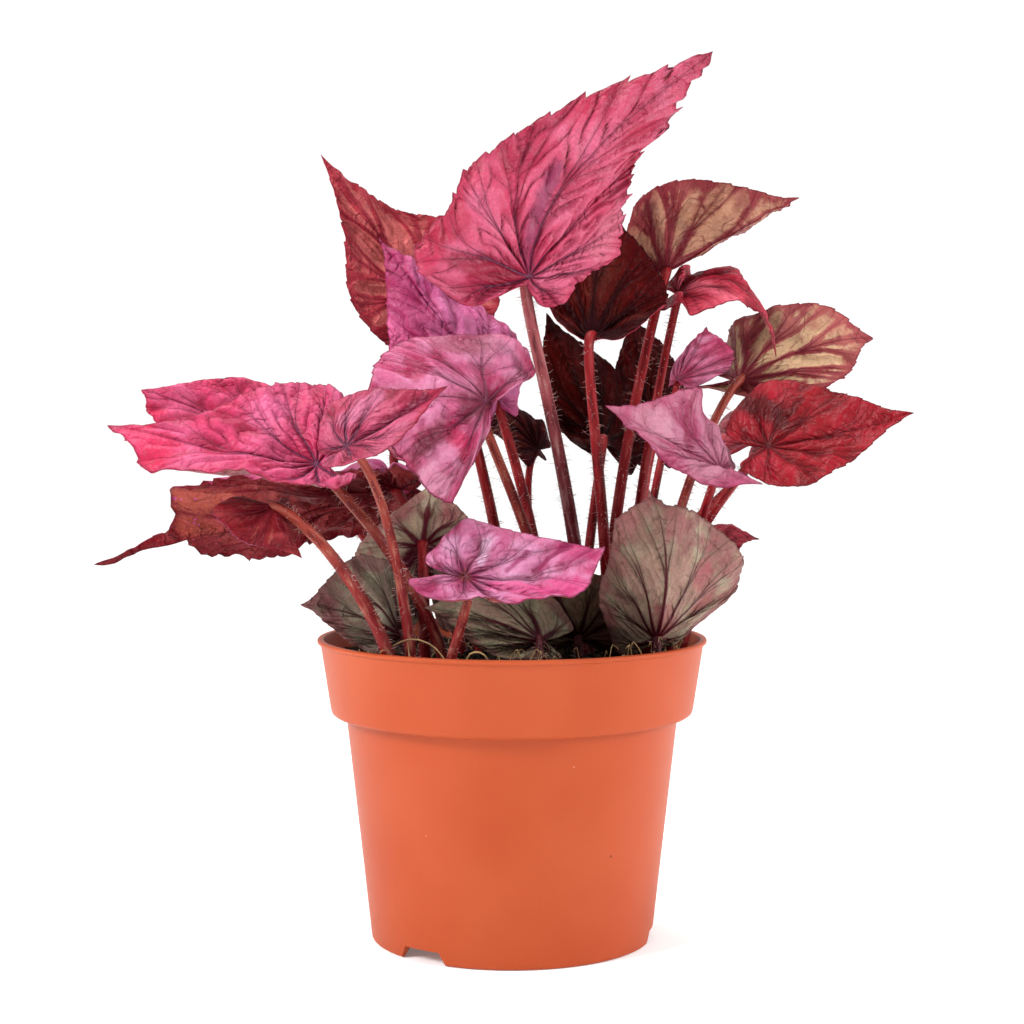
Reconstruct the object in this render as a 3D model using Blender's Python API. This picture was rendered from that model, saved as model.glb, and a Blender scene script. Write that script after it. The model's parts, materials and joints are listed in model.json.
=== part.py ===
"""A potted rex begonia: a nursery pot, its peat, and a blade and a stalk for each leaf.

The origin is the middle of the pot's underside, +Z is up, and the plant is seen looking along +Y.
The constants are millimetres and degrees. Meshes are made in metres.
"""

import math
import random

import bmesh
import bpy
import numpy as np

MM = 0.001

# Pot, 12 cm across its lip
LIP_RADIUS = 60.0
LIP_TOP = 92.8
LIP_HEIGHT = 1.2
BAND_TOP_RADIUS = 59.0
BAND_FOOT_RADIUS = 56.0
BAND_FOOT = 71.6
STEP_HEIGHT = 69.3
BODY_TOP_RADIUS = 51.2
FOOT_RADIUS = 43.5
WALL = 1.1
FLOOR = 1.4
FLOOR_RADIUS = 33.0
CHANNEL_HEIGHT = 4.4
CHANNEL_RADIUS = 41.0
POT_STEPS = 44
NOTCH_ANGLES = (-38.0, 82.0, 202.0)
NOTCH_HALF_WIDTH = 12.0
NOTCH_TOP_HALF_WIDTH = 8.5
NOTCH_HEIGHT = 3.8
DRAIN_HOLES = 6
DRAIN_TURN = 22.0
DRAIN_RADIUS = 2.6

# Peat
SOIL_LEVEL = 86.5
SOIL_BUMP = 1.1
SOIL_STEPS = 28
SOIL_RINGS = (46.0, 33.0, 20.0, 9.0)
CLEARANCE = 0.35

# Leaves
BLADE_THICKNESS = 0.75
STALK_SIDES = 6
STALK_DEPTH = 12.0
STALK_TAPER = 0.28
STALK_RISE = (0.12, 0.12, 0.5)
LEAD_SHARE = 0.25
LONGEST_LEAD = 14.0
# The rings of a stalk lie closer together near the blade, where it bends.
RING_SHARES = 1 - (1 - np.linspace(0, 1, 8)) ** 1.5
VEIN_ANGLES = (0.0, 27.0, 60.0, 102.0, 146.0, 180.0)
PLEAT_HEIGHT = 0.022
TOOTH_DEPTH = 0.055
# A leaf with a drip tip narrows quickly from DRIP_START, in midrib lengths, over DRIP_LENGTH.
DRIP_START = 0.6
DRIP_LENGTH = 0.15
CREASE_ROUNDING = 0.03
MIDRIB_BLEND = 0.06
LARGE_BLADE_SPOKES = 34
LARGE_BLADE_RINGS = (0.32, 0.68, 1.0)
SMALL_BLADE_RINGS = (0.5, 1.0)
PULL_SPREAD = math.radians(26.0)

# Half of the flat blade: x runs along the midrib from the stalk, y across it, in midrib lengths.
# It starts behind the stalk at the end of the slit and ends at the tip.
HALF_OUTLINE = (
    (-0.035, 0.0),
    (-0.18, 0.07),
    (-0.29, 0.15),
    (-0.24, 0.29),
    (-0.10, 0.385),
    (0.10, 0.41),
    (0.30, 0.365),
    (0.50, 0.27),
    (0.70, 0.155),
    (0.86, 0.06),
    (1.0, 0.0),
)
SIDE_SPOT = (0.10, 0.41)
LOBE_SPOT = (-0.24, 0.29)

# Colours, linear RGB
COLOURS = {
    "pot": (0.60, 0.115, 0.035),
    "soil": (0.022, 0.013, 0.008),
    "pink": (0.56, 0.05, 0.11),
    "magenta": (0.50, 0.07, 0.24),
    "lilac": (0.50, 0.20, 0.38),
    "crimson": (0.36, 0.014, 0.025),
    "brick": (0.17, 0.022, 0.018),
    "maroon": (0.07, 0.010, 0.012),
    "tan": (0.34, 0.20, 0.09),
    "green": (0.14, 0.13, 0.085),
    "stalk": (0.24, 0.018, 0.016),
}

# Each leaf: its colour, the foot of its stalk, the junction of stalk and blade, the tip, how far the
# midrib bows from a straight line, then points of the rim. "left" and "right" are the sides seen from
# the upper face with the tip up. A side is the rim's widest point, a lobe is the rim's lowest point.
# cup is how far each half sags (-) or domes (+), and pulls move the rim near one spot of the flat blade.
# lead is the way the stalk leaves the junction, and bend draws its lower part aside. seat is the gap
# under a blade that is creased at its junction, and drip is how much a drip tip narrows.
LEAVES = {
    "top": dict(
        colour="pink", foot=(24, 3), junction=(5, -30, 202), tip=(60, -12, 270), bow=(-14, -9, -4),
        left=(-17, -40, 225), left_lobe=(-25, -46, 201), right=(32, -14, 214), right_lobe=(18, -20, 198),
        pulls=((0.72, 0.15, (27, -22, 259)), (0.72, -0.15, (47, -8, 250))),
        cup=(3, 2), spokes=44, stalk=2.3,
    ),
    "back_left": dict(
        colour="brick", foot=(3, 22), junction=(-26, 26, 198), tip=(-59, 10, 242), bow=(1, 2, -3),
        left=(-13, 32, 219), left_lobe=(-4, 34, 197), right=(-48, 22, 192), right_lobe=(-34, 30, 182),
        pulls=((0.6, 0.22, (-38, 26, 227)), (0.6, -0.22, (-53, 16, 217))),
        bend=(-6, 30, 140), lead=(6, -6, -12), cup=(2, 2), spokes=40, stalk=2.0,
    ),
    "left_tall": dict(
        colour="lilac", foot=(13, 9), junction=(-5, -6, 167), tip=(-41, 2, 216), bow=(1, -4, -1),
        left=(-33, 0, 164), left_lobe=(-19, 2, 157), right=(4, 10, 182), right_lobe=(2, 5, 167),
        lead=(1, 11, -5), seat=0.6, cup=(2, 3), spokes=40, stalk=2.0,
    ),
    "left_cup": dict(
        colour="magenta", foot=(16, 4), junction=(-8, -24, 165), tip=(-45, -50, 160), bow=(0, -3, 4),
        left=(-20, -42, 136), left_lobe=(-14, -28, 142), right=(-26, -20, 184), right_lobe=(2, -7, 183),
        lead=(-7, 11, 0), seat=0.8, cup=(2, 2), spokes=40, stalk=1.9,
        pulls=((0.5, 0.3, (-32, -50, 147)), (0.5, -0.3, (-41, -34, 178))),
    ),
    "left_long": dict(
        colour="pink", foot=(-17, -24), junction=(-57, -34, 147), tip=(-116, -44, 159), bow=(3, -1, -2),
        left=(-62, -58, 144), left_lobe=(-47, -50, 143), right=(-64, -16, 171), right_lobe=(-50, -20, 166),
        pulls=((0.7, 0.155, (-102, -54, 147)), (0.7, -0.155, (-91, -36, 162))),
        lead=(8, 2, -10), cup=(-3, 2), spokes=40, stalk=2.0,
    ),
    "left_back": dict(
        colour="pink", foot=(-30, 30), junction=(-77, 4, 152), tip=(-111, -16, 169), bow=(-1, 2, 2),
        left=(-84, -8, 148), left_lobe=(-75, 0, 146), right=(-75, 16, 170), right_lobe=(-67, 16, 160),
        pulls=((0.7, 0.2, (-111, -18, 160)),), bend=(-38, 34, 130), lead=(5, 11, -8),
        cup=(2, 2), spokes=32, stalk=1.7,
    ),
    "left_small": dict(
        colour="pink", foot=(-28, -38), junction=(-46, -60, 153), tip=(-18, -66, 170), bow=(0, -2, -1),
        left=(-50, -54, 166), left_lobe=(-55, -52, 155), right=(-37, -72, 151), right_lobe=(-50, -62, 147),
        pulls=((0.5, 0.36, (-35, -60, 173)),), cup=(1, 1), spokes=32, stalk=1.7,
    ),
    "left_low": dict(
        colour="brick", foot=(-14, 3), junction=(-36, 6, 138), tip=(-128, -6, 117), bow=(-1, 1, -1),
        left=(-48, -14, 143), left_lobe=(-32, -9, 144), right=(-51, 20, 121), right_lobe=(-36, 21, 128),
        pulls=((0.62, 0.22, (-101, -12, 139)), (0.4, 0.32, (-84, -16, 143))),
        lead=(6, -2, -10), cup=(3, 3), spokes=44, stalk=2.0, drip=0.7,
    ),
    "left_curl": dict(
        colour="brick", foot=(-31, -41), junction=(-68, -46, 135), tip=(-60, -50, 121), bow=(0, -6, 0),
        left=(-80, -56, 129), left_lobe=(-84, -52, 136), right=(-64, -37, 127), right_lobe=(-64, -38, 135),
        lead=(9, -6, -1), cup=(1, 1), spokes=32, stalk=2.1,
    ),
    "middle_small": dict(
        colour="maroon", foot=(8, 17), junction=(8, 16, 150), tip=(-12, 20, 155), bow=(0, -1, 5),
        left=(4, 10, 146), left_lobe=(9, 12, 148), right=(6, 22, 161), right_lobe=(11, 22, 157),
        cup=(1, 1), spokes=28, stalk=1.5,
    ),
    "centre_back_left": dict(
        colour="maroon", foot=(21, 12), junction=(29, 22, 153), tip=(11, 34, 194), bow=(-1, 4, 2),
        left=(41, 30, 166), left_lobe=(41, 25, 148), right=(12, 26, 161), right_lobe=(19, 21, 153),
        cup=(2, 2), spokes=32, stalk=1.8,
    ),
    "centre_back_right": dict(
        colour="maroon", foot=(37, 20), junction=(46, 32, 150), tip=(39, 44, 195), bow=(0, 6, 2),
        left=(56, 40, 171), left_lobe=(55, 36, 153), right=(32, 38, 159), right_lobe=(36, 34, 150),
        cup=(2, 2), spokes=32, stalk=1.8,
    ),
    "right_top": dict(
        colour="tan", foot=(28, 10), junction=(48, 10, 206), tip=(88, 2, 228), bow=(1, -2, 1),
        left=(60, 28, 213), left_lobe=(50, 30, 209), right=(44, 4, 232), right_lobe=(36, 12, 219),
        lead=(-4, -4, -14), cup=(2, 2), spokes=36, stalk=2.0,
    ),
    "right_shade": dict(
        colour="maroon", foot=(31, 3), junction=(24, -8, 185), tip=(30, 2, 227), bow=(-1, 3, 0),
        left=(48, 1, 198), left_lobe=(41, -9, 192), right=(9, 2, 201), right_lobe=(12, -3, 194),
        lead=(-4, -12, -1), seat=1.3, cup=(2, 2), spokes=36, stalk=2.0,
    ),
    "right_curl": dict(
        colour="crimson", foot=(35, 13), junction=(52, 14, 199), tip=(80, -6, 179), bow=(4, -1, 12),
        left=(60, 26, 206), left_lobe=(52, 22, 206), right=(57, -2, 192), right_lobe=(50, 4, 195),
        lead=(-2, 4, -12), cup=(1, 1), spokes=32, stalk=1.7,
    ),
    "right_tan": dict(
        colour="tan", foot=(42, 8), junction=(71, 6, 172), tip=(111, 0, 185), bow=(0, -1, 3),
        left=(90, -5, 166), left_lobe=(58, 8, 169), right=(73, 15, 192), right_lobe=(67, 26, 183),
        pulls=((0.5, -0.36, (89, 8, 199)), (0.75, -0.2, (104, 2, 197)), (0.6, 0.3, (109, -4, 173))),
        lead=(-8, -9, -5), seat=1.3, cup=(2, 2), spokes=36, stalk=1.8,
    ),
    "right_red": dict(
        colour="crimson", foot=(39, -3), junction=(76, -24, 152), tip=(118, -30, 162), bow=(1, 3, -1),
        left=(79, -14, 172), left_lobe=(66, -16, 162), right=(83, -34, 141), right_lobe=(71, -30, 143),
        lead=(-6, 8, -5), cup=(2, 2), spokes=36, stalk=1.9,
    ),
    "right_lilac": dict(
        colour="lilac", foot=(47, -7), junction=(61, -28, 146), tip=(27, -36, 164), bow=(-1, -6, 0),
        left=(53, -42, 143), left_lobe=(71, -34, 141), right=(58, -18, 160), right_lobe=(64, -19, 151),
        pulls=((0.5, -0.36, (57, -16, 176)),), lead=(-2, 8, -10), cup=(2, 2), spokes=32, stalk=1.7,
    ),
    "right_magenta": dict(
        colour="magenta", foot=(36, -11), junction=(50, -14, 172), tip=(59, -8, 188), bow=(1, 1, 1),
        left=(51, -8, 179), left_lobe=(48, -10, 173), right=(67, -12, 177), right_lobe=(60, -14, 172),
        lead=(-1, 5, -10), cup=(1, 1), spokes=28, stalk=1.5,
    ),
    "front": dict(
        colour="magenta", foot=(-20, -46), junction=(-13, -52, 116), tip=(26, -62, 125), bow=(0, -5, -4),
        left=(-11, -46, 132), left_lobe=(-23, -44, 123), right=(-6, -72, 111), right_lobe=(-27, -64, 113),
        pulls=((0.7, 0.155, (22, -57, 125)), (0.7, -0.155, (20, -67, 113))),
        cup=(2, -2), spokes=36, stalk=1.7,
    ),
    "low_right": dict(
        colour="green", foot=(43, -31), junction=(43, -24, 95), tip=(40, -34, 140), bow=(3, -12, 2),
        left=(70, -14, 114), left_lobe=(60, -11, 100), right=(27, -24, 114), right_lobe=(28, -20, 98),
        pulls=((0.62, 0.24, (56, -28, 134)), (0.62, -0.24, (29, -28, 134))),
        lead=(0, -4, -4), cup=(2, 2), spokes=40, stalk=1.8,
    ),
    "low_right_tip": dict(
        colour="crimson", foot=(50, -4), junction=(54, -2, 112), tip=(75, -12, 124), bow=(-1, -3, 4),
        left=(58, 6, 124), left_lobe=(52, 8, 116), right=(63, -9, 112), right_lobe=(57, -5, 106),
        cup=(1, 1), spokes=28, stalk=1.5,
    ),
    "low_left": dict(
        colour="green", foot=(-29, -32), junction=(-33, -25, 96), tip=(-61, -44, 107), bow=(0, -3, 2),
        left=(-42, -18, 120), left_lobe=(-32, -13, 111), right=(-44, -33, 93), right_lobe=(-36, -28, 91),
        pulls=((0.5, 0.36, (-52, -26, 121)),), lead=(3, -7, -4), cup=(1, 1), spokes=36, stalk=1.6,
    ),
    "mid_left": dict(
        colour="green", foot=(-26, -18), junction=(-27, -12, 122), tip=(-24, -10, 141), bow=(0, -3, 1),
        left=(-12, -8, 125), left_lobe=(-17, -5, 95), right=(-48, -8, 119), right_lobe=(-37, -5, 93),
        pulls=((0.6, 0.25, (-14, -8, 132)), (0.6, -0.25, (-36, -12, 133))),
        lead=(0, -5, -10), cup=(1, 1), spokes=36, stalk=2.1,
    ),
    "low_mid": dict(
        colour="green", foot=(22, -16), junction=(20, -11, 94), tip=(6, -20, 117), bow=(0, -5, 2),
        left=(37, -7, 107), left_lobe=(36, -3, 93), right=(-6, -14, 103), right_lobe=(7, -8, 91),
        lead=(0, -4, -4), cup=(1, 1), spokes=32, stalk=1.6,
    ),
    "low_mid_left": dict(
        colour="green", foot=(8, -34), junction=(8, -28, 95), tip=(-26, -33, 105), bow=(0, -3, 2),
        left=(-5, -24, 112), left_lobe=(14, -22, 105), right=(-7, -29, 91), right_lobe=(9, -27, 89),
        lead=(0, -5, -3), cup=(1, 1), spokes=28, stalk=1.5,
    ),
    "rear_left": dict(
        colour="pink", foot=(-8, 18), junction=(-38, 44, 150), tip=(-78, 74, 160), bow=(3, -2, 8),
        left=(-62, 40, 160), left_lobe=(-43, 27, 152), right=(-22, 66, 150), right_lobe=(-18, 46, 142),
        cup=(2, 2), spokes=36, stalk=2.0,
    ),
    "rear_right": dict(
        colour="crimson", foot=(16, 24), junction=(80, 42, 152), tip=(112, 70, 164), bow=(-3, -4, 8),
        left=(70, 62, 158), left_lobe=(62, 46, 150), right=(98, 30, 154), right_lobe=(82, 24, 148),
        bend=(30, 34, 110), cup=(2, 2), spokes=36, stalk=1.9,
    ),
    "rear_low": dict(
        colour="pink", foot=(1, 31), junction=(-4, 44, 108), tip=(-14, 84, 102), bow=(1, 2, 8),
        left=(-26, 46, 112), left_lobe=(-18, 34, 104), right=(14, 50, 108), right_lobe=(8, 36, 102),
        lead=(0, -2, -8), cup=(2, 2), spokes=32, stalk=1.8,
    ),
}


def smooth_curve(points, shares):
    """Points of a Catmull-Rom curve through the given points, at the given shares of its length."""
    points = np.array(points, float)
    ends = [2 * points[0] - points[1], 2 * points[-1] - points[-2]]
    points = np.vstack([ends[0], points, ends[1]])
    pieces = 24
    dense = []
    for i in range(1, len(points) - 2):
        a, b, c, d = points[i - 1 : i + 3]
        for k in range(pieces):
            t = k / pieces
            dense.append(
                b + 0.5 * t * (c - a + t * (2 * a - 5 * b + 4 * c - d + t * (3 * (b - c) + d - a)))
            )
    dense.append(points[-2])
    dense = np.array(dense)
    length = np.concatenate([[0], np.cumsum(np.linalg.norm(np.diff(dense, axis=0), axis=1))])
    wanted = shares * length[-1]
    return np.column_stack([np.interp(wanted, length, dense[:, k]) for k in range(dense.shape[1])])


def smooth_step(value):
    value = np.clip(value, 0, 1)
    return value * value * (3 - 2 * value)


class Blade:
    """Turns points of the flat blade into points in space, in millimetres."""

    def __init__(self, leaf):
        self.junction = np.array(leaf["junction"], float)
        self.along = np.array(leaf["tip"], float) - self.junction
        self.length = np.linalg.norm(self.along)
        self.bow = np.array(leaf["bow"], float)
        self.cup = leaf["cup"]
        x, y = SIDE_SPOT
        base = self.junction + self.along * x + self.bow * 4 * x * (1 - x)
        self.left = (np.array(leaf["left"], float) - base) / y
        self.right = (np.array(leaf["right"], float) - base) / y
        left_normal = self.unit(np.cross(self.along, self.left))
        right_normal = self.unit(np.cross(self.right, self.along))
        self.normals = (left_normal, right_normal)
        self.pulls = []
        self.lobes = (np.zeros(3), np.zeros(3))
        x, y = LOBE_SPOT
        self.lobes = (
            np.array(leaf["left_lobe"], float) - self.place([x], [y])[0],
            np.array(leaf["right_lobe"], float) - self.place([x], [-y])[0],
        )
        for x, y, point in leaf.get("pulls", ()):
            self.pulls.append((x, y, np.array(point, float) - self.place([x], [y])[0]))

    @staticmethod
    def unit(vector):
        return vector / np.linalg.norm(vector)

    def place(self, x, y, out=None):
        """out is the share of the way from the junction to the rim, 1 for a point on the rim."""
        x, y = np.array(x, float), np.array(y, float)
        out = np.ones_like(x) if out is None else np.array(out, float)
        radius, angle = np.hypot(x, y), np.arctan2(y, x)
        crease = np.sqrt(y * y + CREASE_ROUNDING**2) - CREASE_ROUNDING
        point = self.junction + np.outer(x, self.along) + np.outer(4 * x * (1 - x), self.bow)
        point = point + np.outer((crease + y) / 2, self.left) + np.outer((crease - y) / 2, self.right)
        side_angle = math.atan2(SIDE_SPOT[1], SIDE_SPOT[0])
        lobe_angle = math.atan2(LOBE_SPOT[1], LOBE_SPOT[0])
        lobe_share = smooth_step((np.abs(angle) - side_angle) / (lobe_angle - side_angle))
        lobe_share = lobe_share * radius / math.hypot(*LOBE_SPOT)
        leftness = smooth_step(0.5 + y / MIDRIB_BLEND)
        point = point + np.outer(lobe_share * leftness, self.lobes[0])
        point = point + np.outer(lobe_share * (1 - leftness), self.lobes[1])
        for pull_x, pull_y, shift in self.pulls:
            turn = (angle - math.atan2(pull_y, pull_x)) / PULL_SPREAD
            share = np.exp(-turn * turn) * (radius / math.hypot(pull_x, pull_y)) ** 2
            point = point + np.outer(share * np.clip(y / pull_y, 0, 1), shift)
        arch = 4 * out * (1 - out) * np.sin(angle) ** 2
        pleat = PLEAT_HEIGHT * self.length * self.pleats(angle) * out * (1.3 - out)
        normal = np.outer(leftness, self.normals[0]) + np.outer(1 - leftness, self.normals[1])
        lift = arch * (leftness * self.cup[0] + (1 - leftness) * self.cup[1]) + pleat
        return point + normal * lift[:, None]

    @staticmethod
    def pleats(angle):
        """The blade bulges between its main veins: 0 on a vein and 1 half way to the next."""
        angle = np.degrees(np.abs(angle))
        height = np.zeros_like(angle)
        for low, high in zip(VEIN_ANGLES, VEIN_ANGLES[1:]):
            inside = (angle >= low) & (angle < high)
            height = np.where(inside, np.sin(np.pi * (angle - low) / (high - low)) ** 2, height)
        return height

    def normal(self, x, y, out):
        step = 0.004
        ahead = self.place(x + step, y, out) - self.place(x - step, y, out)
        leftward = self.place(x, y + step, out) - self.place(x, y - step, out)
        normal = np.cross(ahead, leftward)
        return normal / np.linalg.norm(normal, axis=1)[:, None]


def flat_rim(spokes, drip):
    """The rim of the flat blade from the slit up the left side to the tip and back, with its teeth."""
    half = spokes // 2
    share = np.linspace(0, 1, half + 1)
    left = smooth_curve(HALF_OUTLINE, share)
    tooth = np.where(np.arange(half + 1) % 2 == 1, 1.0, -0.7) * TOOTH_DEPTH
    tooth = tooth * np.sin(np.pi * share) ** 0.5
    left = left * (1 + tooth)[:, None]
    left[0] = HALF_OUTLINE[0]
    left[-1] = HALF_OUTLINE[-1]
    right = left[-2:0:-1] * (1, -1)
    rim = np.vstack([left, right])
    rim[:, 1] *= 1 - drip * smooth_step((rim[:, 0] - DRIP_START) / DRIP_LENGTH)
    return rim


def add_object(name, colour, points, faces, smooth=True):
    mesh = bpy.data.meshes.new(name)
    mesh.from_pydata([tuple(p) for p in np.array(points) * MM], [], [tuple(map(int, f)) for f in faces])
    mesh.validate()
    obj = bpy.data.objects.new(name, mesh)
    bpy.context.scene.collection.objects.link(obj)
    edit = bmesh.new()
    edit.from_mesh(mesh)
    bmesh.ops.recalc_face_normals(edit, faces=edit.faces)
    edit.to_mesh(mesh)
    edit.free()
    if smooth:
        mesh.shade_smooth()
        mesh.set_sharp_from_angle(angle=math.radians(40))
    mesh.materials.append(material(colour))
    return obj


def material(colour):
    found = bpy.data.materials.get(colour)
    if found:
        return found
    made = bpy.data.materials.new(colour)
    made.use_nodes = True
    shader = made.node_tree.nodes["Principled BSDF"]
    shader.inputs["Base Color"].default_value = (*COLOURS[colour], 1)
    shader.inputs["Roughness"].default_value = {"pot": 0.45, "soil": 0.95}.get(colour, 0.5)
    shader.inputs["Metallic"].default_value = 0.0
    return made


def make_blade(name, leaf):
    """A fan of triangles round the junction, alike on both faces, closed by a strip along the rim."""
    blade = Blade(leaf)
    rim = flat_rim(leaf["spokes"], leaf.get("drip", 0.0))
    count = len(rim)
    rings = LARGE_BLADE_RINGS if leaf["spokes"] >= LARGE_BLADE_SPOKES else SMALL_BLADE_RINGS
    x = np.concatenate([[0.0]] + [rim[:, 0] * r for r in rings])
    y = np.concatenate([[0.0]] + [rim[:, 1] * r for r in rings])
    out = np.concatenate([[0.0]] + [np.full(count, r) for r in rings])
    middle = blade.place(x, y, out)
    offset = blade.normal(x, y, out) * BLADE_THICKNESS / 2
    points = np.vstack([middle + offset, middle - offset])
    top = []
    for i in range(count):
        j = (i + 1) % count
        top.append((0, 1 + i, 1 + j))
        for ring in range(len(rings) - 1):
            a, b = 1 + ring * count + i, 1 + ring * count + j
            top.append((a, a + count, b + count))
            top.append((a, b + count, b))
    half = len(middle)
    faces = list(top)
    faces += [(a + half, c + half, b + half) for a, b, c in top]
    outer = 1 + (len(rings) - 1) * count
    for i in range(count):
        a, b = outer + i, outer + (i + 1) % count
        faces.append((a, a + half, b + half))
        faces.append((a, b + half, b))
    return add_object("blade_" + name, leaf["colour"], points, faces)


def stalk_path(leaf):
    """Centre points of the stalk from its buried foot to the blade's underside."""
    blade = Blade(leaf)
    up = blade.normal(np.zeros(1), np.zeros(1), np.zeros(1))[0]
    end = blade.junction - up * (BLADE_THICKNESS / 2 + leaf.get("seat", CLEARANCE))
    foot = np.array([*leaf["foot"], SOIL_LEVEL - STALK_DEPTH], float)
    rise = np.linalg.norm(end - foot)
    first = np.array(leaf.get("bend", foot + (end - foot) * STALK_RISE), float)
    last = end + np.array(leaf.get("lead", -up * min(LEAD_SHARE * rise, LONGEST_LEAD)), float)
    t = np.linspace(0, 1, 24)[:, None]
    path = (1 - t) ** 3 * foot + 3 * t * (1 - t) ** 2 * first + 3 * t**2 * (1 - t) * last + t**3 * end
    return smooth_curve(path, RING_SHARES), up


def tube(path, radii, last_normal=None):
    """A closed tube of STALK_SIDES sides. Its last ring lies square to last_normal."""
    ahead = np.gradient(path, axis=0)
    ahead /= np.linalg.norm(ahead, axis=1)[:, None]
    side = np.cross(ahead[0], (0.0, 1.0, 0.0))
    points = []
    for centre, forward, radius in zip(path, ahead, radii):
        side = side - forward * side.dot(forward)
        side /= np.linalg.norm(side)
        other = np.cross(forward, side)
        for k in range(STALK_SIDES):
            turn = 2 * math.pi * k / STALK_SIDES
            points.append(centre + radius * (math.cos(turn) * side + math.sin(turn) * other))
    points = np.array(points)
    if last_normal is not None:
        ring = points[-STALK_SIDES:]
        height = (ring - path[-1]) @ last_normal
        lean = last_normal.dot(ahead[-1])
        points[-STALK_SIDES:] = ring - np.outer(height / max(lean, 0.5), ahead[-1])
    faces = []
    for ring in range(len(path) - 1):
        for k in range(STALK_SIDES):
            a = ring * STALK_SIDES + k
            b = ring * STALK_SIDES + (k + 1) % STALK_SIDES
            faces.append((a, b, b + STALK_SIDES, a + STALK_SIDES))
    faces.append(tuple(range(STALK_SIDES))[::-1])
    faces.append(tuple(range(len(points) - STALK_SIDES, len(points))))
    return points, faces


def stalk_radii(leaf):
    return leaf["stalk"] * (1.0 - STALK_TAPER * RING_SHARES)


def make_stalk(name, leaf):
    path, up = stalk_path(leaf)
    points, faces = tube(path, stalk_radii(leaf), up)
    return add_object("stalk_" + name, "stalk", points, faces)


def turned(name, colour, profile, steps):
    """A solid turned round the Z axis. Its profile of (radius, height) points starts and ends on the axis."""
    points = [(0.0, 0.0, profile[0][1])]
    inner = profile[1:-1]
    for radius, height in inner:
        for k in range(steps):
            turn = 2 * math.pi * k / steps
            points.append((radius * math.cos(turn), radius * math.sin(turn), height))
    points.append((0.0, 0.0, profile[-1][1]))
    last = len(points) - 1
    faces = []
    for k in range(steps):
        j = (k + 1) % steps
        faces.append((0, 1 + j, 1 + k))
        for row in range(len(inner) - 1):
            a, b = 1 + row * steps + k, 1 + row * steps + j
            faces.append((a, b, b + steps, a + steps))
        start = 1 + (len(inner) - 1) * steps
        faces.append((last, start + k, start + j))
    return add_object(name, colour, points, faces)


def pot_profile():
    slope = (BODY_TOP_RADIUS - FOOT_RADIUS) / STEP_HEIGHT
    inner_top = BAND_TOP_RADIUS - WALL
    return [
        (0.0, 0.0),
        (FLOOR_RADIUS, 0.0),
        (FLOOR_RADIUS + 1.2, CHANNEL_HEIGHT),
        (CHANNEL_RADIUS, CHANNEL_HEIGHT),
        (FOOT_RADIUS - WALL, 0.0),
        (FOOT_RADIUS - 0.3, 0.0),
        (FOOT_RADIUS, 0.5),
        (BODY_TOP_RADIUS, STEP_HEIGHT),
        (BAND_FOOT_RADIUS - 1.6, STEP_HEIGHT + 0.1),
        (BAND_FOOT_RADIUS - 0.4, STEP_HEIGHT + 0.8),
        (BAND_FOOT_RADIUS, BAND_FOOT),
        (BAND_TOP_RADIUS, LIP_TOP - LIP_HEIGHT - 0.2),
        (LIP_RADIUS, LIP_TOP - LIP_HEIGHT),
        (LIP_RADIUS, LIP_TOP - 0.3),
        (LIP_RADIUS - 0.4, LIP_TOP),
        (inner_top + 0.3, LIP_TOP),
        (inner_top, LIP_TOP - 0.4),
        (BAND_FOOT_RADIUS - WALL, BAND_FOOT + 0.6),
        (BODY_TOP_RADIUS - WALL, STEP_HEIGHT + WALL),
        (FOOT_RADIUS - WALL + slope * 6.0, CHANNEL_HEIGHT + FLOOR + 0.4),
        (FLOOR_RADIUS + 2.2, CHANNEL_HEIGHT + FLOOR),
        (FLOOR_RADIUS + 0.8, FLOOR),
        (0.0, FLOOR),
    ]


def cut(target, cutter):
    cutter.hide_render = True
    cutter.display_type = "WIRE"
    boolean = target.modifiers.new("cut", "BOOLEAN")
    boolean.operation = "DIFFERENCE"
    boolean.object = cutter


def make_pot():
    pot = turned("pot", "pot", pot_profile(), POT_STEPS)
    for number, angle in enumerate(NOTCH_ANGLES):
        cut(pot, notch_cutter(number, angle))
    for number in range(DRAIN_HOLES):
        turn = math.radians(DRAIN_TURN + 360 * number / DRAIN_HOLES)
        radius = (FLOOR_RADIUS + CHANNEL_RADIUS) / 2 + 0.6
        centre = np.array([radius * math.cos(turn), radius * math.sin(turn), CHANNEL_HEIGHT - 2])
        path = np.array([centre, centre + (0, 0, 2), centre + (0, 0, 6)])
        points, faces = tube(path, [DRAIN_RADIUS] * 3)
        cut(pot, add_object(f"drain_{number}", "pot", points, faces, smooth=False))
    return pot


def notch_cutter(number, angle):
    """A block that is narrower at its top, across the foot ring. An angle of 0 faces the viewer."""
    near, far = CHANNEL_RADIUS - 1.5, FOOT_RADIUS + 4
    points = []
    for height, half_width in ((-1.0, NOTCH_HALF_WIDTH), (NOTCH_HEIGHT, NOTCH_TOP_HALF_WIDTH)):
        for radius, side in ((near, -1), (far, -1), (far, 1), (near, 1)):
            turn = math.radians(angle + side * half_width - 90)
            points.append((radius * math.cos(turn), radius * math.sin(turn), height))
    faces = [(3, 2, 1, 0), (4, 5, 6, 7)]
    faces += [(k, (k + 1) % 4, (k + 1) % 4 + 4, k + 4) for k in range(4)]
    return add_object(f"notch_{number}", "pot", points, faces, smooth=False)


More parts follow.
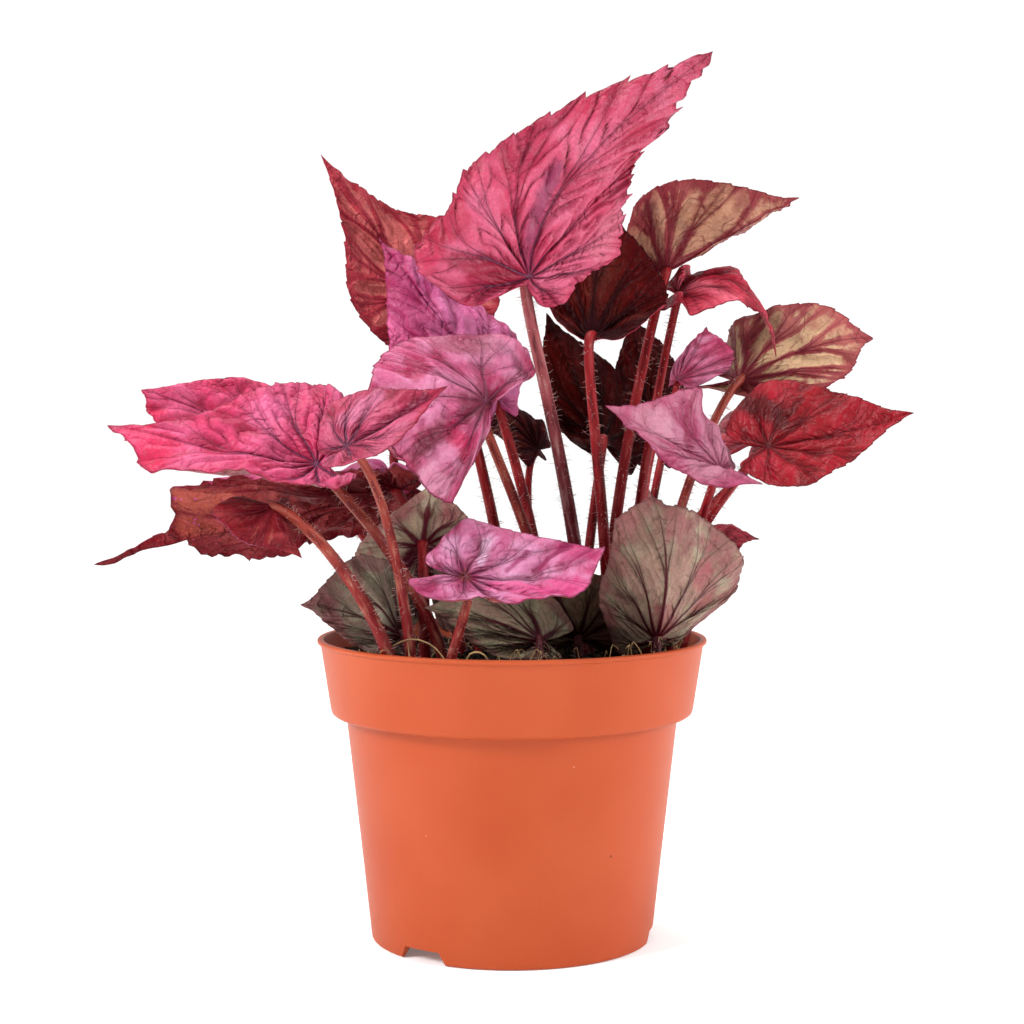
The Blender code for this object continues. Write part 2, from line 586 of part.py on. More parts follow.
def make_soil():
    gap = CLEARANCE
    inner_band = BAND_FOOT_RADIUS - WALL - gap
    share = (SOIL_LEVEL - BAND_FOOT) / (LIP_TOP - BAND_FOOT)
    top_radius = inner_band + share * (BAND_TOP_RADIUS - BAND_FOOT_RADIUS)
    slope = (BODY_TOP_RADIUS - FOOT_RADIUS) / STEP_HEIGHT
    profile = [
        (0.0, FLOOR + gap),
        (FLOOR_RADIUS + 0.4, FLOOR + gap),
        (FLOOR_RADIUS + 1.8, CHANNEL_HEIGHT + FLOOR + gap),
        (FOOT_RADIUS - WALL - gap + slope * 6.0, CHANNEL_HEIGHT + FLOOR + 0.4 + gap),
        (BODY_TOP_RADIUS - WALL - gap, STEP_HEIGHT + WALL + gap),
        (inner_band, BAND_FOOT + 0.6 + gap),
        (top_radius, SOIL_LEVEL),
    ]
    profile += [(radius, SOIL_LEVEL) for radius in SOIL_RINGS]
    profile.append((0.0, SOIL_LEVEL))
    soil = turned("soil", "soil", profile, SOIL_STEPS)
    draw = random.Random(12)
    for vertex in soil.data.vertices:
        if vertex.co.z > (SOIL_LEVEL - 1) * MM and vertex.co.xy.length < (top_radius - 1) * MM:
            vertex.co.z += draw.uniform(-SOIL_BUMP, SOIL_BUMP) * MM
    for name, leaf in LEAVES.items():
        cut(soil, hole_cutter(name, leaf))
    return soil


def hole_cutter(name, leaf):
    """A plain hole for the stalk: the stalk's own foot, wider by the clearance and up into the air."""
    path, _ = stalk_path(leaf)
    buried = int(np.argmax(path[:, 2] > SOIL_LEVEL + 2 * SOIL_BUMP)) + 1
    path = path[:buried].copy()
    path[0] = path[0] + Blade.unit(path[0] - path[1]) * CLEARANCE
    points, faces = tube(path, stalk_radii(leaf)[:buried] + CLEARANCE)
    return add_object("hole_" + name, "soil", points, faces, smooth=False)


def main():
    for obj in list(bpy.data.objects):
        bpy.data.objects.remove(obj)
    make_pot()
    for name, leaf in LEAVES.items():
        make_blade(name, leaf)
        make_stalk(name, leaf)
    make_soil()


main()
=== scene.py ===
"""Looks of the potted begonia: fine leaves, hairy stalks, peat with straw, and the nursery pot.

Lengths are millimetres, colours are sRGB from 0 to 255, and meshes are made in metres. Each leaf has the
cage of points that its solid has, and a point of its blade has two pairs of flat coordinates: x and y in
midrib lengths, and a and out, where a counts the main veins and out runs from the junction to the rim.
"""

import json
import math
import random

import bmesh
import bpy
import numpy as np
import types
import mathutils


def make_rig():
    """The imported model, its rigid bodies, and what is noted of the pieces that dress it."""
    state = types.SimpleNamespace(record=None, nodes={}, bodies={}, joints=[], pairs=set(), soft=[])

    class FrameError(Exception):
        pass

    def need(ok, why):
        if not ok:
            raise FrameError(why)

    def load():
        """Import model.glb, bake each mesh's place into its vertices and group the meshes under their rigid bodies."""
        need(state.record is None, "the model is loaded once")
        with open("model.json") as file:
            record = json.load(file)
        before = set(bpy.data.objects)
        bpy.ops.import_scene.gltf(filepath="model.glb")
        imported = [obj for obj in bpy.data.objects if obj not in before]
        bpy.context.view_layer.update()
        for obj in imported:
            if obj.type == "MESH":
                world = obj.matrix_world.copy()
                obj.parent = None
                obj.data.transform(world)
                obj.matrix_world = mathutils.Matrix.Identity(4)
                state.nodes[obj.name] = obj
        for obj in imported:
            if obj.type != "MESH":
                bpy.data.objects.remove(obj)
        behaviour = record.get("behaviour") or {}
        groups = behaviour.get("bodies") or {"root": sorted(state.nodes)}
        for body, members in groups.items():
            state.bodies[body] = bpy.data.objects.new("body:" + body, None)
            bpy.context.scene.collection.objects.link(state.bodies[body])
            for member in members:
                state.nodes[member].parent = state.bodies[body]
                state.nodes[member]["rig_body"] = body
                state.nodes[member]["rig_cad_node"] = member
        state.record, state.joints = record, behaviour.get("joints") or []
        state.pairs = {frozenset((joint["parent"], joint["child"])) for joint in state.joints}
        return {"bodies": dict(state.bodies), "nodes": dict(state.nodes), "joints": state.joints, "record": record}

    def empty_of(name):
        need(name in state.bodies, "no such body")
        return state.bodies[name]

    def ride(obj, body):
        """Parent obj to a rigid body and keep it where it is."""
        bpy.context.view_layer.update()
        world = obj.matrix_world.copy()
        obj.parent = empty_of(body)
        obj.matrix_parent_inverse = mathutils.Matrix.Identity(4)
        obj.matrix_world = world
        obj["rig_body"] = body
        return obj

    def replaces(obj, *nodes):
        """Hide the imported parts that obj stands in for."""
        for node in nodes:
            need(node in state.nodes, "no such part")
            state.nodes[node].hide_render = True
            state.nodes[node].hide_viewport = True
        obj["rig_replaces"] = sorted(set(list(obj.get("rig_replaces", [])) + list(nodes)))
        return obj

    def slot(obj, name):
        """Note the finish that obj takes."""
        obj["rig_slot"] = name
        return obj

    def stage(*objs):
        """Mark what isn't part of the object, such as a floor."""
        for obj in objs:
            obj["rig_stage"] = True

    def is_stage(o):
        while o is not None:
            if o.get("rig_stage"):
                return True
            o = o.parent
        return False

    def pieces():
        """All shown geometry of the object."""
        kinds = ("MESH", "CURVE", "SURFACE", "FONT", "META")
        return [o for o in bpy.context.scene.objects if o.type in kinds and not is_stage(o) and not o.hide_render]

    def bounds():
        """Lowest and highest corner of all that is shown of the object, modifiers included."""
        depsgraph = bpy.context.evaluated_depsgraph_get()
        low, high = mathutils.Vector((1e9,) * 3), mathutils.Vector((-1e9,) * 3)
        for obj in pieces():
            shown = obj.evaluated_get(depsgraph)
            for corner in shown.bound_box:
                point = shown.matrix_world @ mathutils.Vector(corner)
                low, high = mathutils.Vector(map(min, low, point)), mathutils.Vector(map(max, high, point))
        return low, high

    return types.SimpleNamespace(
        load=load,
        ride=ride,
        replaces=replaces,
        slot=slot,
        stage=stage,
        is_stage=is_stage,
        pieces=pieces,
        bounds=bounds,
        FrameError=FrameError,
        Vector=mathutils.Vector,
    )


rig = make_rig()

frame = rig.load()
CAD_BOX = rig.bounds()

MM = 0.001

# Camera and lights, in metres, degrees and watts
CAMERA_PLACE = (0.0, -0.646, 0.1667)
CAMERA_TILT = 86.87
CAMERA_LENS = 73.76
SKY = 1.05
# Share of the sky's light that comes from the camera's side
FRONT_SKY = 0.3
# Paint is darker than it looks, because the sky and the lamps together shine brighter than white.
TONE = 0.62
LIGHTS = (
    ("key_left", (-0.85, -0.60, 0.75), 0.35, 15.0),
    ("key_right", (0.95, -0.35, 0.50), 0.35, 9.0),
    ("top", (-0.1, 0.15, 1.1), 0.5, 6.0),
)
AIM = (0.0, 0.0, 0.12)
FLOOR_SIZE = 6.0
# The floor lies a little under the pot, and glows a little so that its far end is as white as the sky.
FLOOR_DROP = 0.2
FLOOR_GLOW = 0.14

# Pot
LIP_RADIUS = 60.0
LIP_TOP = 92.8
LIP_HEIGHT = 1.2
BAND_TOP_RADIUS = 59.0
BAND_FOOT_RADIUS = 56.0
BAND_FOOT = 71.6
STEP_HEIGHT = 69.3
BODY_TOP_RADIUS = 51.2
FOOT_RADIUS = 43.5
BODY_SLOPE = (BODY_TOP_RADIUS - FOOT_RADIUS) / STEP_HEIGHT
# Height at which the inside of the wall meets the floor
INNER_FOOT = 6.0
WALL = 1.1
FLOOR = 1.4
FLOOR_RADIUS = 33.0
CHANNEL_HEIGHT = 4.4
CHANNEL_RADIUS = 41.0
POT_STEPS = 192
CORNER_ROUNDING = 0.35
SHARP_ANGLE = math.radians(50)
NOTCH_ANGLES = (-38.0, 82.0, 202.0)
NOTCH_HALF_WIDTH = 12.0
NOTCH_TOP_HALF_WIDTH = 8.5
NOTCH_HEIGHT = 3.8
DRAIN_HOLES = 6
DRAIN_TURN = 22.0
DRAIN_RADIUS = 2.6
DRAIN_SIDES = 20

# Peat, its crumbs and the fibres on it
SOIL_LEVEL = 86.5
SOIL_GAP = 0.35
SOIL_STEPS = 160
SOIL_RINGS = 46
SOIL_WAVES = ((18.0, 0.5), (7.0, 0.45), (3.0, 0.3))
CRUMBS = 1500
CRUMB_SIZE = (0.45, 1.5)
FIBRE_RADIUS = (0.1, 0.24)
FIBRE_POINTS = 12
FIBRE_SIDES = 5
FIBRE_REACH = 55.0
LOOSE_FIBRES = 90
LOOSE_LENGTH = (2.5, 7.0)
# Tufts of roots stand up along the front rim, mostly on the right.
TUFT_FIBRES = 34
TUFT_TURNS = (-96, -18)
TUFT_REACH = (48, 55)
TUFT_LENGTH = (3, 8)
TUFT_TOP = (90, 96)
# Straw and roots that the photograph shows: points from end to end, and the radius
FIBRES = (
    (((-37, -40, 88), (-36, -42, 93.5), (-29, -45, 97.2), (-22, -48, 95), (-17, -50, 88)), 0.28),
    (((-29, -47, 86), (-29.5, -46, 92), (-30, -45, 96.5)), 0.25),
    (((-35, -43, 93), (-37, -45, 94), (-38, -46, 93.3)), 0.2),
    (((-14, -50, 88), (-12, -51, 93.5), (-8, -52, 93.6), (-5, -52, 88)), 0.35),
)

# Stalks and their hairs
STALK_SIDES = 14
STALK_RINGS = 44
STALK_DEPTH = 12.0
STALK_TAPER = 0.28
STALK_RISE = (0.12, 0.12, 0.5)
STALK_RIBS = 3
PATH_POINTS = 60
RIB_DEPTH = 0.05
LEAD_SHARE = 0.25
LONGEST_LEAD = 14.0
HAIRS_PER_MM = 2.4
HAIR_LENGTH = (1.0, 2.9)
HAIR_RADIUS = 0.08

# Form of the blades, in millimetres and in shares of the midrib. Folds and ruffles have these sizes on a
# blade of FULL_LENGTH, and grow or shrink with its length.
FULL_LENGTH = 60
THICKNESS = 0.5
VEIN_ANGLES = (0.0, 27.0, 60.0, 102.0, 146.0, 180.0)
VEIN_SPREAD = 0.63
PLEAT_HEIGHT = 0.022
TEETH = 15
RIGHT_SIDE_SEED = 500
TOOTH_DEPTH = 0.055
DRIP_START = 0.6
DRIP_LENGTH = 0.15
CREASE_ROUNDING = 0.03
MIDRIB_BLEND = 0.06
PULL_SPREAD = math.radians(26.0)
CURVE_PIECES = 24
NORMAL_STEP = 0.004
# Each main vein forks at FORK_START of the way out.
FORK_START = 0.36
FORK_SLOPE = 0.52
BRANCH_GAP = 9.0
BRANCH_LEAN = 0.75
PUCKER = 1.5
FOLD = 0.6
RUFFLE = 0.9
RIDGE = 0.5
RIB_WIDTH = 0.75
FORK_RIB_WIDTH = 0.6
# Points round the rim and rings from the junction, of a large and of a small leaf
GRID_LARGE = (252, 32)
GRID_SMALL = (150, 20)
FIRST_RING = 0.03

# Pattern of the faces, in millimetres where it isn't a share
BITE = 0.4
PATCH_EDGE = 0.78
NET_MESH = 3.2
FINE_MESH = 1.3
WRINKLE = 1.6
BUMP_HEIGHT = 0.45
RIM_SHARE = 0.7
# Short dents lie across the blade along the main veins.
DENT_GAP = 3.6
DENT_REACH = 6.0
DENT_SLANT = 3.37
# The noises on a face: size of the blobs, detail, and what is added to the leaf's seed
BLOBS = {
    "deep": (22.0, 2.0, 9.0),
    "large": (14.0, 2.0, 0.0),
    "medium": (7.0, 3.0, 3.0),
    "middle": (4.0, 3.0, 0.0),
    "wrinkle": (3.2, 2.0, 12.0),
    "mottle": (2.0, 3.0, 6.0),
    "grain": (0.7, 1.0, 0.0),
}
# The lines on a face in the order they are drawn, and the palette's colour for each. The branch lines are partly the
# small veins' own colour and partly painted shade in the creases they lie in, and the dent lines are painted shade.
INKS = (
    ("net", "net"),
    ("branch", "crease"),
    ("dent", "crease"),
    ("halo", "crease"),
    ("vein", "vein"),
    ("rim", "crease"),
)

# Half of the flat blade: x runs along the midrib from the stalk, y across it, in midrib lengths.
# It starts behind the stalk at the end of the slit and ends at the tip.
HALF_OUTLINE = (
    (-0.035, 0.0), (-0.18, 0.07), (-0.29, 0.15), (-0.24, 0.29), (-0.10, 0.385), (0.10, 0.41),
    (0.30, 0.365), (0.50, 0.27), (0.70, 0.155), (0.86, 0.06), (1.0, 0.0),
)
SIDE_SPOT = (0.10, 0.41)
LOBE_SPOT = (-0.24, 0.29)


# Each leaf: its colour, the foot of its stalk, the junction of stalk and blade, the tip, how far the
# midrib bows from a straight line, then points of the rim. "left" and "right" are the sides seen from
# the upper face with the tip up. A side is the rim's widest point, a lobe is the rim's lowest point.
# cup is how far each half sags (-) or domes (+), pulls move the rim near one spot of the flat blade, and
# stalk is the stalk's radius at its foot. lead is the way the stalk leaves the junction, and bend draws its
# lower part aside. drip is how much a drip tip narrows, and small marks a leaf with the coarser grid.
LEAVES = {
    "top": dict(
        colour="pink", foot=(24, 3), junction=(5, -30, 202), tip=(60, -12, 270), bow=(-14, -9, -4),
        left=(-17, -40, 225), left_lobe=(-25, -46, 201), right=(32, -14, 214), right_lobe=(18, -20, 198),
        pulls=((0.72, 0.15, (27, -22, 259)), (0.72, -0.15, (47, -8, 250))),
        cup=(3, 2), stalk=2.3,
    ),
    "back_left": dict(
        colour="brick", foot=(3, 22), junction=(-26, 26, 198), tip=(-59, 10, 242), bow=(1, 2, -3),
        left=(-13, 32, 219), left_lobe=(-4, 34, 197), right=(-48, 22, 192), right_lobe=(-34, 30, 182),
        pulls=((0.6, 0.22, (-38, 26, 227)), (0.6, -0.22, (-53, 16, 217))),
        bend=(-6, 30, 140), lead=(6, -6, -12), cup=(2, 2), stalk=2.0,
    ),
    "left_tall": dict(
        colour="lilac", foot=(13, 9), junction=(-5, -6, 167), tip=(-41, 2, 216), bow=(1, -4, -1),
        left=(-33, 0, 164), left_lobe=(-19, 2, 157), right=(4, 10, 182), right_lobe=(2, 5, 167),
        lead=(1, 11, -5), cup=(2, 3), stalk=2.0,
    ),
    "left_cup": dict(
        colour="magenta", foot=(16, 4), junction=(-8, -24, 165), tip=(-45, -50, 160), bow=(0, -3, 4),
        left=(-20, -42, 136), left_lobe=(-14, -28, 142), right=(-26, -20, 184), right_lobe=(2, -7, 183),
        lead=(-7, 11, 0), cup=(2, 2), stalk=1.9,
        pulls=((0.5, 0.3, (-32, -50, 147)), (0.5, -0.3, (-41, -34, 178))),
    ),
    "left_long": dict(
        colour="pink", foot=(-17, -24), junction=(-57, -34, 147), tip=(-116, -44, 159), bow=(3, -1, -2),
        left=(-62, -58, 144), left_lobe=(-47, -50, 143), right=(-64, -16, 171), right_lobe=(-50, -20, 166),
        pulls=((0.7, 0.155, (-102, -54, 147)), (0.7, -0.155, (-91, -36, 162))),
        lead=(8, 2, -10), cup=(-3, 2), stalk=2.0,
    ),
    "left_back": dict(
        colour="pink", foot=(-30, 30), junction=(-77, 4, 152), tip=(-111, -16, 169), bow=(-1, 2, 2),
        left=(-84, -8, 148), left_lobe=(-75, 0, 146), right=(-75, 16, 170), right_lobe=(-67, 16, 160),
        pulls=((0.7, 0.2, (-111, -18, 160)),), bend=(-38, 34, 130), lead=(5, 11, -8),
        cup=(2, 2), small=True, stalk=1.7,
    ),
    "left_small": dict(
        colour="pink", foot=(-28, -38), junction=(-46, -60, 153), tip=(-18, -66, 170), bow=(0, -2, -1),
        left=(-50, -54, 166), left_lobe=(-55, -52, 155), right=(-37, -72, 151), right_lobe=(-50, -62, 147),
        pulls=((0.5, 0.36, (-35, -60, 173)),), cup=(1, 1), small=True, stalk=1.7,
    ),
    "left_low": dict(
        colour="brick", foot=(-14, 3), junction=(-36, 6, 138), tip=(-128, -6, 117), bow=(-1, 1, -1),
        left=(-48, -14, 143), left_lobe=(-32, -9, 144), right=(-51, 20, 121), right_lobe=(-36, 21, 128),
        pulls=((0.62, 0.22, (-101, -12, 139)), (0.4, 0.32, (-84, -16, 143))),
        lead=(6, -2, -10), cup=(3, 3), stalk=2.0, drip=0.7,
    ),
    "left_curl": dict(
        colour="brick", foot=(-31, -41), junction=(-68, -46, 135), tip=(-60, -50, 121), bow=(0, -6, 0),
        left=(-80, -56, 129), left_lobe=(-84, -52, 136), right=(-64, -37, 127), right_lobe=(-64, -38, 135),
        lead=(9, -6, -1), cup=(1, 1), small=True, stalk=2.1,
    ),
    "middle_small": dict(
        colour="maroon", foot=(8, 17), junction=(8, 16, 150), tip=(-12, 20, 155), bow=(0, -1, 5),
        left=(4, 10, 146), left_lobe=(9, 12, 148), right=(6, 22, 161), right_lobe=(11, 22, 157),
        cup=(1, 1), small=True, stalk=1.5,
    ),
    "centre_back_left": dict(
        colour="maroon", foot=(21, 12), junction=(29, 22, 153), tip=(11, 34, 194), bow=(-1, 4, 2),
        left=(41, 30, 166), left_lobe=(41, 25, 148), right=(12, 26, 161), right_lobe=(19, 21, 153),
        cup=(2, 2), small=True, stalk=1.8,
    ),
    "centre_back_right": dict(
        colour="maroon", foot=(37, 20), junction=(46, 32, 150), tip=(39, 44, 195), bow=(0, 6, 2),
        left=(56, 40, 171), left_lobe=(55, 36, 153), right=(32, 38, 159), right_lobe=(36, 34, 150),
        cup=(2, 2), small=True, stalk=1.8,
    ),
    "right_top": dict(
        colour="tan", foot=(28, 10), junction=(48, 10, 206), tip=(88, 2, 228), bow=(1, -2, 1),
        left=(60, 28, 213), left_lobe=(50, 30, 209), right=(44, 4, 232), right_lobe=(36, 12, 219),
        lead=(-4, -4, -14), cup=(2, 2), stalk=2.0,
    ),
    "right_shade": dict(
        colour="maroon", foot=(31, 3), junction=(24, -8, 185), tip=(30, 2, 227), bow=(-1, 3, 0),
        left=(48, 1, 198), left_lobe=(41, -9, 192), right=(9, 2, 201), right_lobe=(12, -3, 194),
        lead=(-4, -12, -1), cup=(2, 2), stalk=2.0,
    ),
    "right_curl": dict(
        colour="crimson", foot=(35, 13), junction=(52, 14, 199), tip=(80, -6, 179), bow=(4, -1, 12),
        left=(60, 26, 206), left_lobe=(52, 22, 206), right=(57, -2, 192), right_lobe=(50, 4, 195),
        lead=(-2, 4, -12), cup=(1, 1), small=True, stalk=1.7,
    ),
    "right_tan": dict(
        colour="tan", foot=(42, 8), junction=(71, 6, 172), tip=(111, 0, 185), bow=(0, -1, 3),
        left=(90, -5, 166), left_lobe=(58, 8, 169), right=(73, 15, 192), right_lobe=(67, 26, 183),
        pulls=((0.5, -0.36, (89, 8, 199)), (0.75, -0.2, (104, 2, 197)), (0.6, 0.3, (109, -4, 173))),
        lead=(-8, -9, -5), cup=(2, 2), stalk=1.8,
    ),
    "right_red": dict(
        colour="crimson", foot=(39, -3), junction=(76, -24, 152), tip=(118, -30, 162), bow=(1, 3, -1),
        left=(79, -14, 172), left_lobe=(66, -16, 162), right=(83, -34, 141), right_lobe=(71, -30, 143),
        lead=(-6, 8, -5), cup=(2, 2), stalk=1.9,
    ),
    "right_lilac": dict(
        colour="lilac", foot=(47, -7), junction=(61, -28, 146), tip=(27, -36, 164), bow=(-1, -6, 0),
        left=(53, -42, 143), left_lobe=(71, -34, 141), right=(58, -18, 160), right_lobe=(64, -19, 151),
        pulls=((0.5, -0.36, (57, -16, 176)),), lead=(-2, 8, -10), cup=(2, 2), small=True, stalk=1.7,
    ),
    "right_magenta": dict(
        colour="magenta", foot=(36, -11), junction=(50, -14, 172), tip=(59, -8, 188), bow=(1, 1, 1),
        left=(51, -8, 179), left_lobe=(48, -10, 173), right=(67, -12, 177), right_lobe=(60, -14, 172),
        lead=(-1, 5, -10), cup=(1, 1), small=True, stalk=1.5,
    ),
    "front": dict(
        colour="magenta", foot=(-20, -46), junction=(-13, -52, 116), tip=(26, -62, 125), bow=(0, -5, -4),
        left=(-11, -46, 132), left_lobe=(-23, -44, 123), right=(-6, -72, 111), right_lobe=(-27, -64, 113),
        pulls=((0.7, 0.155, (22, -57, 125)), (0.7, -0.155, (20, -67, 113))),
        cup=(2, -2), stalk=1.7,
    ),
    "low_right": dict(
        colour="green", foot=(43, -31), junction=(43, -24, 95), tip=(40, -34, 140), bow=(3, -12, 2),
        left=(70, -14, 114), left_lobe=(60, -11, 100), right=(27, -24, 114), right_lobe=(28, -20, 98),
        pulls=((0.62, 0.24, (56, -28, 134)), (0.62, -0.24, (29, -28, 134))),
        lead=(0, -4, -4), cup=(2, 2), stalk=1.8,
    ),
    "low_right_tip": dict(
        colour="crimson", foot=(50, -4), junction=(54, -2, 112), tip=(75, -12, 124), bow=(-1, -3, 4),
        left=(58, 6, 124), left_lobe=(52, 8, 116), right=(63, -9, 112), right_lobe=(57, -5, 106),
        cup=(1, 1), small=True, stalk=1.5,
    ),
    "low_left": dict(
        colour="green", foot=(-29, -32), junction=(-33, -25, 96), tip=(-61, -44, 107), bow=(0, -3, 2),
        left=(-42, -18, 120), left_lobe=(-32, -13, 111), right=(-44, -33, 93), right_lobe=(-36, -28, 91),
        pulls=((0.5, 0.36, (-52, -26, 121)),), lead=(3, -7, -4), cup=(1, 1), stalk=1.6,
    ),
    "mid_left": dict(
        colour="green", foot=(-26, -18), junction=(-27, -12, 122), tip=(-24, -10, 141), bow=(0, -3, 1),
        left=(-12, -8, 125), left_lobe=(-17, -5, 95), right=(-48, -8, 119), right_lobe=(-37, -5, 93),
        pulls=((0.6, 0.25, (-14, -8, 132)), (0.6, -0.25, (-36, -12, 133))),
        lead=(0, -5, -10), cup=(1, 1), stalk=2.1,
    ),
    "low_mid": dict(
        colour="green", foot=(22, -16), junction=(20, -11, 94), tip=(6, -20, 117), bow=(0, -5, 2),
        left=(37, -7, 107), left_lobe=(36, -3, 93), right=(-6, -14, 103), right_lobe=(7, -8, 91),
        lead=(0, -4, -4), cup=(1, 1), small=True, stalk=1.6,
    ),
    "low_mid_left": dict(
        colour="green", foot=(8, -34), junction=(8, -28, 95), tip=(-26, -33, 105), bow=(0, -3, 2),
        left=(-5, -24, 112), left_lobe=(14, -22, 105), right=(-7, -29, 91), right_lobe=(9, -27, 89),
        lead=(0, -5, -3), cup=(1, 1), small=True, stalk=1.5,
    ),
    "rear_left": dict(
        colour="pink", foot=(-8, 18), junction=(-38, 44, 150), tip=(-78, 74, 160), bow=(3, -2, 8),
        left=(-62, 40, 160), left_lobe=(-43, 27, 152), right=(-22, 66, 150), right_lobe=(-18, 46, 142),
        cup=(2, 2), stalk=2.0,
    ),
    "rear_right": dict(
        colour="crimson", foot=(16, 24), junction=(80, 42, 152), tip=(112, 70, 164), bow=(-3, -4, 8),
        left=(70, 62, 158), left_lobe=(62, 46, 150), right=(98, 30, 154), right_lobe=(82, 24, 148),
        bend=(30, 34, 110), cup=(2, 2), stalk=1.9,
    ),
    "rear_low": dict(
        colour="pink", foot=(1, 31), junction=(-4, 44, 108), tip=(-14, 84, 102), bow=(1, 2, 8),
        left=(-26, 46, 112), left_lobe=(-18, 34, 104), right=(14, 50, 108), right_lobe=(8, 36, 102),
        lead=(0, -2, -8), cup=(2, 2), small=True, stalk=1.8,
    ),
}

# Faces of the blades. base, light and patch lie between the veins, crease along the small veins, net in the finest
# mesh, vein on the main veins, centre round the junction and margin along the rim. light is also the painted highlight
# on the tops of the folds, and crease is painted shade in the bottoms of the folds, along the small veins and in the
# dents.
PALETTES = {
    "pink": dict(
        base=(200, 50, 88), light=(228, 112, 146), patch=(222, 80, 116), crease=(140, 14, 50),
        net=(180, 40, 76), vein=(92, 50, 78), centre=(100, 20, 56), margin=(192, 38, 72),
    ),
    "magenta": dict(
        base=(188, 56, 108), light=(236, 172, 208), patch=(212, 116, 164), crease=(126, 12, 62),
        net=(186, 72, 124), vein=(96, 34, 66), centre=(116, 10, 56), margin=(206, 66, 122),
    ),
    "lilac": dict(
        base=(184, 84, 130), light=(214, 160, 188), patch=(200, 146, 178), crease=(142, 26, 82),
        net=(172, 90, 134), vein=(128, 52, 92), centre=(146, 26, 82), margin=(196, 88, 136),
    ),
    "crimson": dict(
        base=(158, 26, 44), light=(196, 66, 84), patch=(176, 40, 58), crease=(100, 4, 16),
        net=(136, 20, 36), vein=(84, 8, 28), centre=(84, 4, 14), margin=(168, 36, 54),
    ),
    "brick": dict(
        base=(140, 38, 42), light=(176, 78, 72), patch=(186, 118, 92), crease=(92, 8, 18),
        net=(98, 16, 24), vein=(92, 8, 22), centre=(108, 16, 28), margin=(122, 22, 34),
    ),
    "tan": dict(
        base=(150, 60, 64), light=(184, 106, 96), patch=(206, 168, 128), crease=(116, 18, 34),
        net=(150, 62, 62), vein=(108, 12, 30), centre=(90, 14, 30), margin=(156, 60, 68),
    ),
    "maroon": dict(
        base=(66, 6, 12), light=(96, 20, 20), patch=(106, 42, 22), crease=(36, 2, 8),
        net=(44, 4, 10), vein=(34, 2, 8), centre=(48, 4, 12), margin=(74, 12, 20),
    ),
    "green": dict(
        base=(144, 146, 120), light=(184, 180, 152), patch=(162, 118, 112), crease=(108, 74, 70),
        net=(112, 90, 80), vein=(68, 6, 22), centre=(120, 54, 62), margin=(142, 72, 84),
    ),
    "rose": dict(
        base=(158, 76, 78), light=(188, 116, 110), patch=(196, 152, 122), crease=(116, 26, 40),
        net=(126, 46, 54), vein=(112, 18, 36), centre=(118, 30, 42), margin=(146, 54, 64),
    ),
}

# How much of each layer a kind of face shows. The widths are millimetres. On the folds, the first share is for painted
# shade and shine is for painted highlight. crease and dent are the shares of painted shade along the small veins and
# in the dents.
STRENGTHS = {
    "pink": dict(
        fold_shading=0.7, patch=0.3, margin=0.3, centre=0.3, crease=0.2, net=0.12, vein=0.8, width=0.5, dent=0.22
    ),
    "magenta": dict(
        fold_shading=0.8, patch=0.4, margin=0.4, centre=0.3, crease=0.2, net=0.1, vein=0.65, width=0.36, shine=0.85,
        dent=0.12
    ),
    "lilac": dict(
        fold_shading=0.65, patch=0.5, margin=0.35, centre=0.3, crease=0.25, net=0.15, vein=0.4, width=0.45, dent=0.1
    ),
    "crimson": dict(
        fold_shading=0.5, patch=0.3, margin=0.2, centre=0.5, crease=0.25, net=0.12, vein=0.65, width=0.45, dent=0.15
    ),
    "brick": dict(
        fold_shading=0.5, patch=0.6, margin=0.5, centre=0.4, crease=0.6, net=0.4, vein=0.85, width=0.8, gloss=0.12
    ),
    "tan": dict(
        fold_shading=0.45, patch=0.95, margin=0.5, centre=0.8, crease=0.6, net=0.3, vein=0.9, width=0.75, gloss=0.15
    ),
    "maroon": dict(
        fold_shading=0.5, patch=0.35, margin=0.5, centre=0.7, crease=0.6, net=0.4, vein=0.8, width=0.8, gloss=0.04
    ),
    "green": dict(
        fold_shading=0.3, patch=0.45, margin=0.65, centre=0.5, crease=0.3, net=0.25, vein=1.0, width=0.85, gloss=0.1,
        dent=0.05
    ),
    "rose": dict(
        fold_shading=0.5, patch=0.5, margin=0.5, centre=0.5, crease=0.6, net=0.35, vein=0.85, width=0.8, gloss=0.15
    ),
}

# The stalk at its foot and at the blade, then its pale and dark streaks.
STALKS = {
    "red": ((128, 4, 14), (160, 26, 34), (190, 84, 82), (74, 0, 8)),
    "dusk": ((104, 16, 30), (172, 82, 86), (200, 150, 148), (66, 10, 20)),
    "tan": ((128, 14, 22), (164, 66, 54), (192, 126, 106), (90, 8, 16)),
    "dark": ((52, 8, 14), (78, 18, 26), (118, 56, 60), (30, 4, 8)),
}

# How deep the teeth are, where it isn't BITE
BITES = {
    "top": 1.0, "left_tall": 0.25, "back_left": 0.5, "left_small": 0.55, "right_red": 0.5, "front": 0.25,
    "centre_back_left": 0.5, "centre_back_right": 0.5, "middle_small": 0.6, "right_magenta": 0.6,
}
